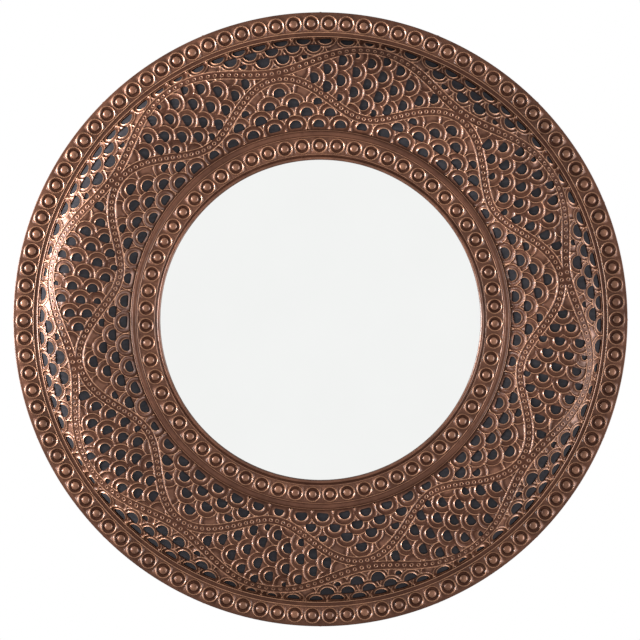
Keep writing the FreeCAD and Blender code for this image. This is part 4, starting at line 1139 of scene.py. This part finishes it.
class MIRROR_OT_pierced_band(Operator):
    """Pierced band: eight sectors of embossed sheet with their holes, shaded as one across their joins"""

    bl_idname = "accent_mirror.pierced_band"
    bl_label = "Pierced band"

    def execute(self, context):
        relief = context.scene.mirror_relief
        dots = [
            (OUTER_STRAP, dot_places(OUTER_STRAP, relief.outer_dots)),
            (INNER_STRAP, dot_places(INNER_STRAP, relief.inner_dots)),
        ]
        sectors = [band_sector(relief, dots, number) for number in range(UNITS)]
        sums = [face_sum(sector.points, sector.faces) for sector in sectors]
        joined = [total.copy() for total in sums]
        for number in range(UNITS):
            after = (number + 1) % UNITS
            stop, start = sectors[number].ends[1], sectors[after].ends[0]
            both = sums[number][stop] + sums[after][start]
            joined[number][stop] = both
            joined[after][start] = both
        finish = antiqued_copper("antiqued_copper_band", context.scene.mirror_finishes, BAND_WORN_LEVEL)
        for number, (sector, total) in enumerate(zip(sectors, joined)):
            points, faces, back_faces, sides = sector[:4]
            along_side = points[sides[:, 1]] - points[sides[:, 0]]
            side_normal = unit(np.cross(along_side, points[sides[:, 3]] - points[sides[:, 0]]))
            normals = np.concatenate([
                unit(total)[faces].reshape(-1, 3),
                unit(face_sum(points, back_faces))[back_faces].reshape(-1, 3),
                np.repeat(side_normal, 4, axis=0),
            ])
            name = "band_sector_%d" % (number + 1)
            mesh = make_mesh(name, points, [faces, back_faces, sides], sector.attributes, normals)
            add_piece(mesh, finish, "pierced_band")
        return {"FINISHED"}


class MIRROR_OT_bead_rings(Operator):
    """Bead rings: the brim with its skirt and rib, and the collar with its rib and rolled lip"""

    bl_idname = "accent_mirror.bead_rings"
    bl_label = "Bead rings"

    def execute(self, context):
        rows = context.scene.mirror_beads
        finish = antiqued_copper("antiqued_copper_trim", context.scene.mirror_finishes, TRIM_WORN_LEVEL)
        add_piece(brim_mesh(rows), finish, "outer_bead_ring")
        add_piece(collar_mesh(rows), finish, "inner_bead_ring")
        return {"FINISHED"}


class MIRROR_OT_backing(Operator):
    """Backing: satin black core, dark stained board, soft pads and rubber bumpers"""

    bl_idname = "accent_mirror.backing"
    bl_label = "Backing"

    def execute(self, context):
        colours = context.scene.mirror_finishes
        dress(painted_wood("satin_black_wood", colours.black_paint, 0.8, 0.25, 0.0), "core_ring")
        dress(painted_wood("stained_board", BOARD_STAIN, 0.55, 0.45, 0.4), "back_board")
        foam = soft_stuff("foam_tape", FOAM_GREY, 700.0)
        dress(foam, "glass_cushion", *["mirror_pad_%d" % n for n in range(1, PADS + 1)])
        rubber = soft_stuff("bumper_rubber", RUBBER_BLACK, 500.0)
        dress(rubber, *["wall_bumper_%d" % n for n in range(1, BUMPERS + 1)])
        return {"FINISHED"}


class MIRROR_OT_glass(Operator):
    """Glass: the silvered mirror disc"""

    bl_idname = "accent_mirror.glass"
    bl_label = "Glass"

    def execute(self, context):
        dress(silvered_glass("silvered_glass", context.scene.mirror_finishes.silver), "mirror_glass")
        return {"FINISHED"}


class MIRROR_OT_fixings(Operator):
    """Fixings: browned nails round the skirt, zinc screws, straps and hanging rings"""

    bl_idname = "accent_mirror.fixings"
    bl_label = "Fixings"

    def execute(self, context):
        dress(plain_metal("browned_nails", NAIL_BROWN, 0.42, 0.85), "skirt_nails")
        zinc = plain_metal("zinc_plate", ZINC_GREY, 0.33)
        dress(zinc, "core_screws")
        for side in ("left", "right"):
            dress(zinc, "hanger_strap_" + side, "hanger_screws_" + side, "hanger_ring_" + side)
        return {"FINISHED"}


def facing(place, target):
    """Turn that points a camera or a lamp from a place at a target."""
    return (Vector(target) - Vector(place)).to_track_quat("-Z", "Y").to_euler()


def front_camera(scene, studio):
    """Camera a little above square on, at a distance from the brim and with a given width of view there."""
    target = Vector((VIEW_ACROSS, -BRIM_FRONT, VIEW_UP))
    lift = math.radians(studio.elevation)
    lens = bpy.data.cameras.new("front_camera")
    camera = bpy.data.objects.new("front_camera", lens)
    camera.location = target + Vector((0, -math.cos(lift), math.sin(lift))) * studio.distance
    camera.rotation_euler = facing(camera.location, target)
    lens.sensor_width = SENSOR_WIDTH
    lens.lens = SENSOR_WIDTH * studio.distance / studio.width
    scene.collection.objects.link(camera)
    scene.camera = camera


def softbox(name, place, target, wide, tall, power):
    """Area light behind a grid that narrows its beam, facing a target."""
    lamp = bpy.data.lights.new(name, "AREA")
    lamp.shape = "RECTANGLE"
    lamp.size, lamp.size_y = wide, tall
    lamp.energy = power
    lamp.spread = BEAM_SPREAD
    light = bpy.data.objects.new(name, lamp)
    light.location = place
    light.rotation_euler = facing(place, target)
    bpy.context.scene.collection.objects.link(light)


def white_surround(scene, fill):
    """World that is white to the camera and in reflections, and lights the piece with a fill strength."""
    world = bpy.data.worlds.new("white_surround")
    scene.world = world
    world.use_nodes = True
    tree = world.node_tree
    tree.nodes.clear()
    path = add_node(tree, "ShaderNodeLightPath").outputs
    seen = sum_of(tree, "MAXIMUM", path["Is Camera Ray"], path["Is Glossy Ray"])
    seen = sum_of(tree, "MAXIMUM", seen, path["Is Transmission Ray"])
    white = add_node(tree, "ShaderNodeBackground", {"Color": (1, 1, 1, 1), "Strength": 1.0})
    soft = add_node(tree, "ShaderNodeBackground", {"Color": (1, 1, 1, 1), "Strength": fill})
    mix = add_node(tree, "ShaderNodeMixShader", {0: seen, 1: soft.outputs[0], 2: white.outputs[0]})
    add_node(tree, "ShaderNodeOutputWorld", {"Surface": mix.outputs[0]})


def pale_floor(scene):
    """Floor disc well below the mirror: rings of points x = r cos t, y = r sin t round a middle point."""
    turn = np.linspace(0, 2 * math.pi, FLOOR_POINTS + 1)[:-1]
    reach = np.array(FLOOR_RADII)[:, None]
    level = np.full((len(FLOOR_RADII), FLOOR_POINTS), FLOOR_LEVEL)
    rings = np.stack([reach * np.cos(turn), reach * np.sin(turn), level], axis=-1)
    points = np.concatenate([rings.reshape(-1, 3), [[0, 0, FLOOR_LEVEL]]])
    here = np.arange(FLOOR_POINTS)
    ahead = np.roll(here, -1)
    base = FLOOR_POINTS * np.arange(len(FLOOR_RADII) - 1)[:, None]
    after = base + FLOOR_POINTS
    quads = np.stack([base + here, after + here, after + ahead, base + ahead], axis=-1).reshape(-1, 4)
    caps = np.stack([np.full(FLOOR_POINTS, len(points) - 1), here, ahead], axis=1)
    mesh = make_mesh("pale_floor", points, [quads, caps], {})
    finish, tree, shader, place = new_finish("pale_floor")
    tone = blend_colour(tree, cloud(tree, place, 6.0), *FLOOR_TONES)
    feed(tree, shader, {"Base Color": tone, "Roughness": 0.8})
    mesh.materials.append(finish)
    floor = bpy.data.objects.new("pale_floor", mesh)
    scene.collection.objects.link(floor)


class MIRROR_OT_stage(Operator):
    """Stage: camera nearly square on, three softboxes, white surround and a pale floor below"""

    bl_idname = "accent_mirror.stage"
    bl_label = "Stage"

    def execute(self, context):
        scene, studio = context.scene, context.scene.mirror_studio
        scene.view_settings.view_transform = "Standard"
        front_camera(scene, studio)
        softbox(
            "left_softbox", place=(-1.72, -0.24, 0.22), target=(0, 0, 0.54),
            wide=1.15, tall=0.95, power=studio.left_light,
        )
        softbox(
            "front_softbox", place=(-1.75, -2.10, -0.20), target=(0, 0, -0.05),
            wide=0.3, tall=0.8, power=studio.front_light,
        )
        softbox(
            "right_softbox", place=(1.90, -0.80, -0.20), target=(0, 0, 0.20),
            wide=3.0, tall=1.8, power=studio.right_light,
        )
        white_surround(scene, studio.fill)
        pale_floor(scene)
        return {"FINISHED"}


class MIRROR_PT_sidebar(Panel):
    """Lists the mirror's pieces and sizes"""

    bl_idname = "MIRROR_PT_sidebar"
    bl_label = "Accent mirror"
    bl_space_type = "VIEW_3D"
    bl_region_type = "UI"
    bl_category = "Mirror"

    def draw(self, context):
        for operator in OPERATORS:
            self.layout.operator(operator.bl_idname)
        for name in GROUPS:
            group = getattr(context.scene, name)
            for key in group.__annotations__:
                self.layout.prop(group, key)


OPERATORS = (
    MIRROR_OT_pierced_band,
    MIRROR_OT_bead_rings,
    MIRROR_OT_backing,
    MIRROR_OT_glass,
    MIRROR_OT_fixings,
    MIRROR_OT_stage,
)
GROUPS = {
    "mirror_relief": BandRelief,
    "mirror_beads": BeadRows,
    "mirror_finishes": Finishes,
    "mirror_studio": Studio,
}


def register():
    for group in GROUPS.values():
        bpy.utils.register_class(group)
    for name, group in GROUPS.items():
        setattr(bpy.types.Scene, name, PointerProperty(type=group))
    for operator in OPERATORS:
        bpy.utils.register_class(operator)
    bpy.utils.register_class(MIRROR_PT_sidebar)


def unregister():
    bpy.utils.unregister_class(MIRROR_PT_sidebar)
    for operator in OPERATORS:
        bpy.utils.unregister_class(operator)
    for name in GROUPS:
        delattr(bpy.types.Scene, name)
    for group in GROUPS.values():
        bpy.utils.unregister_class(group)


def main():
    register()
    bpy.ops.accent_mirror.pierced_band()
    bpy.ops.accent_mirror.bead_rings()
    bpy.ops.accent_mirror.backing()
    bpy.ops.accent_mirror.glass()
    bpy.ops.accent_mirror.fixings()
    bpy.ops.accent_mirror.stage()


if __name__ == "__main__":
    main()
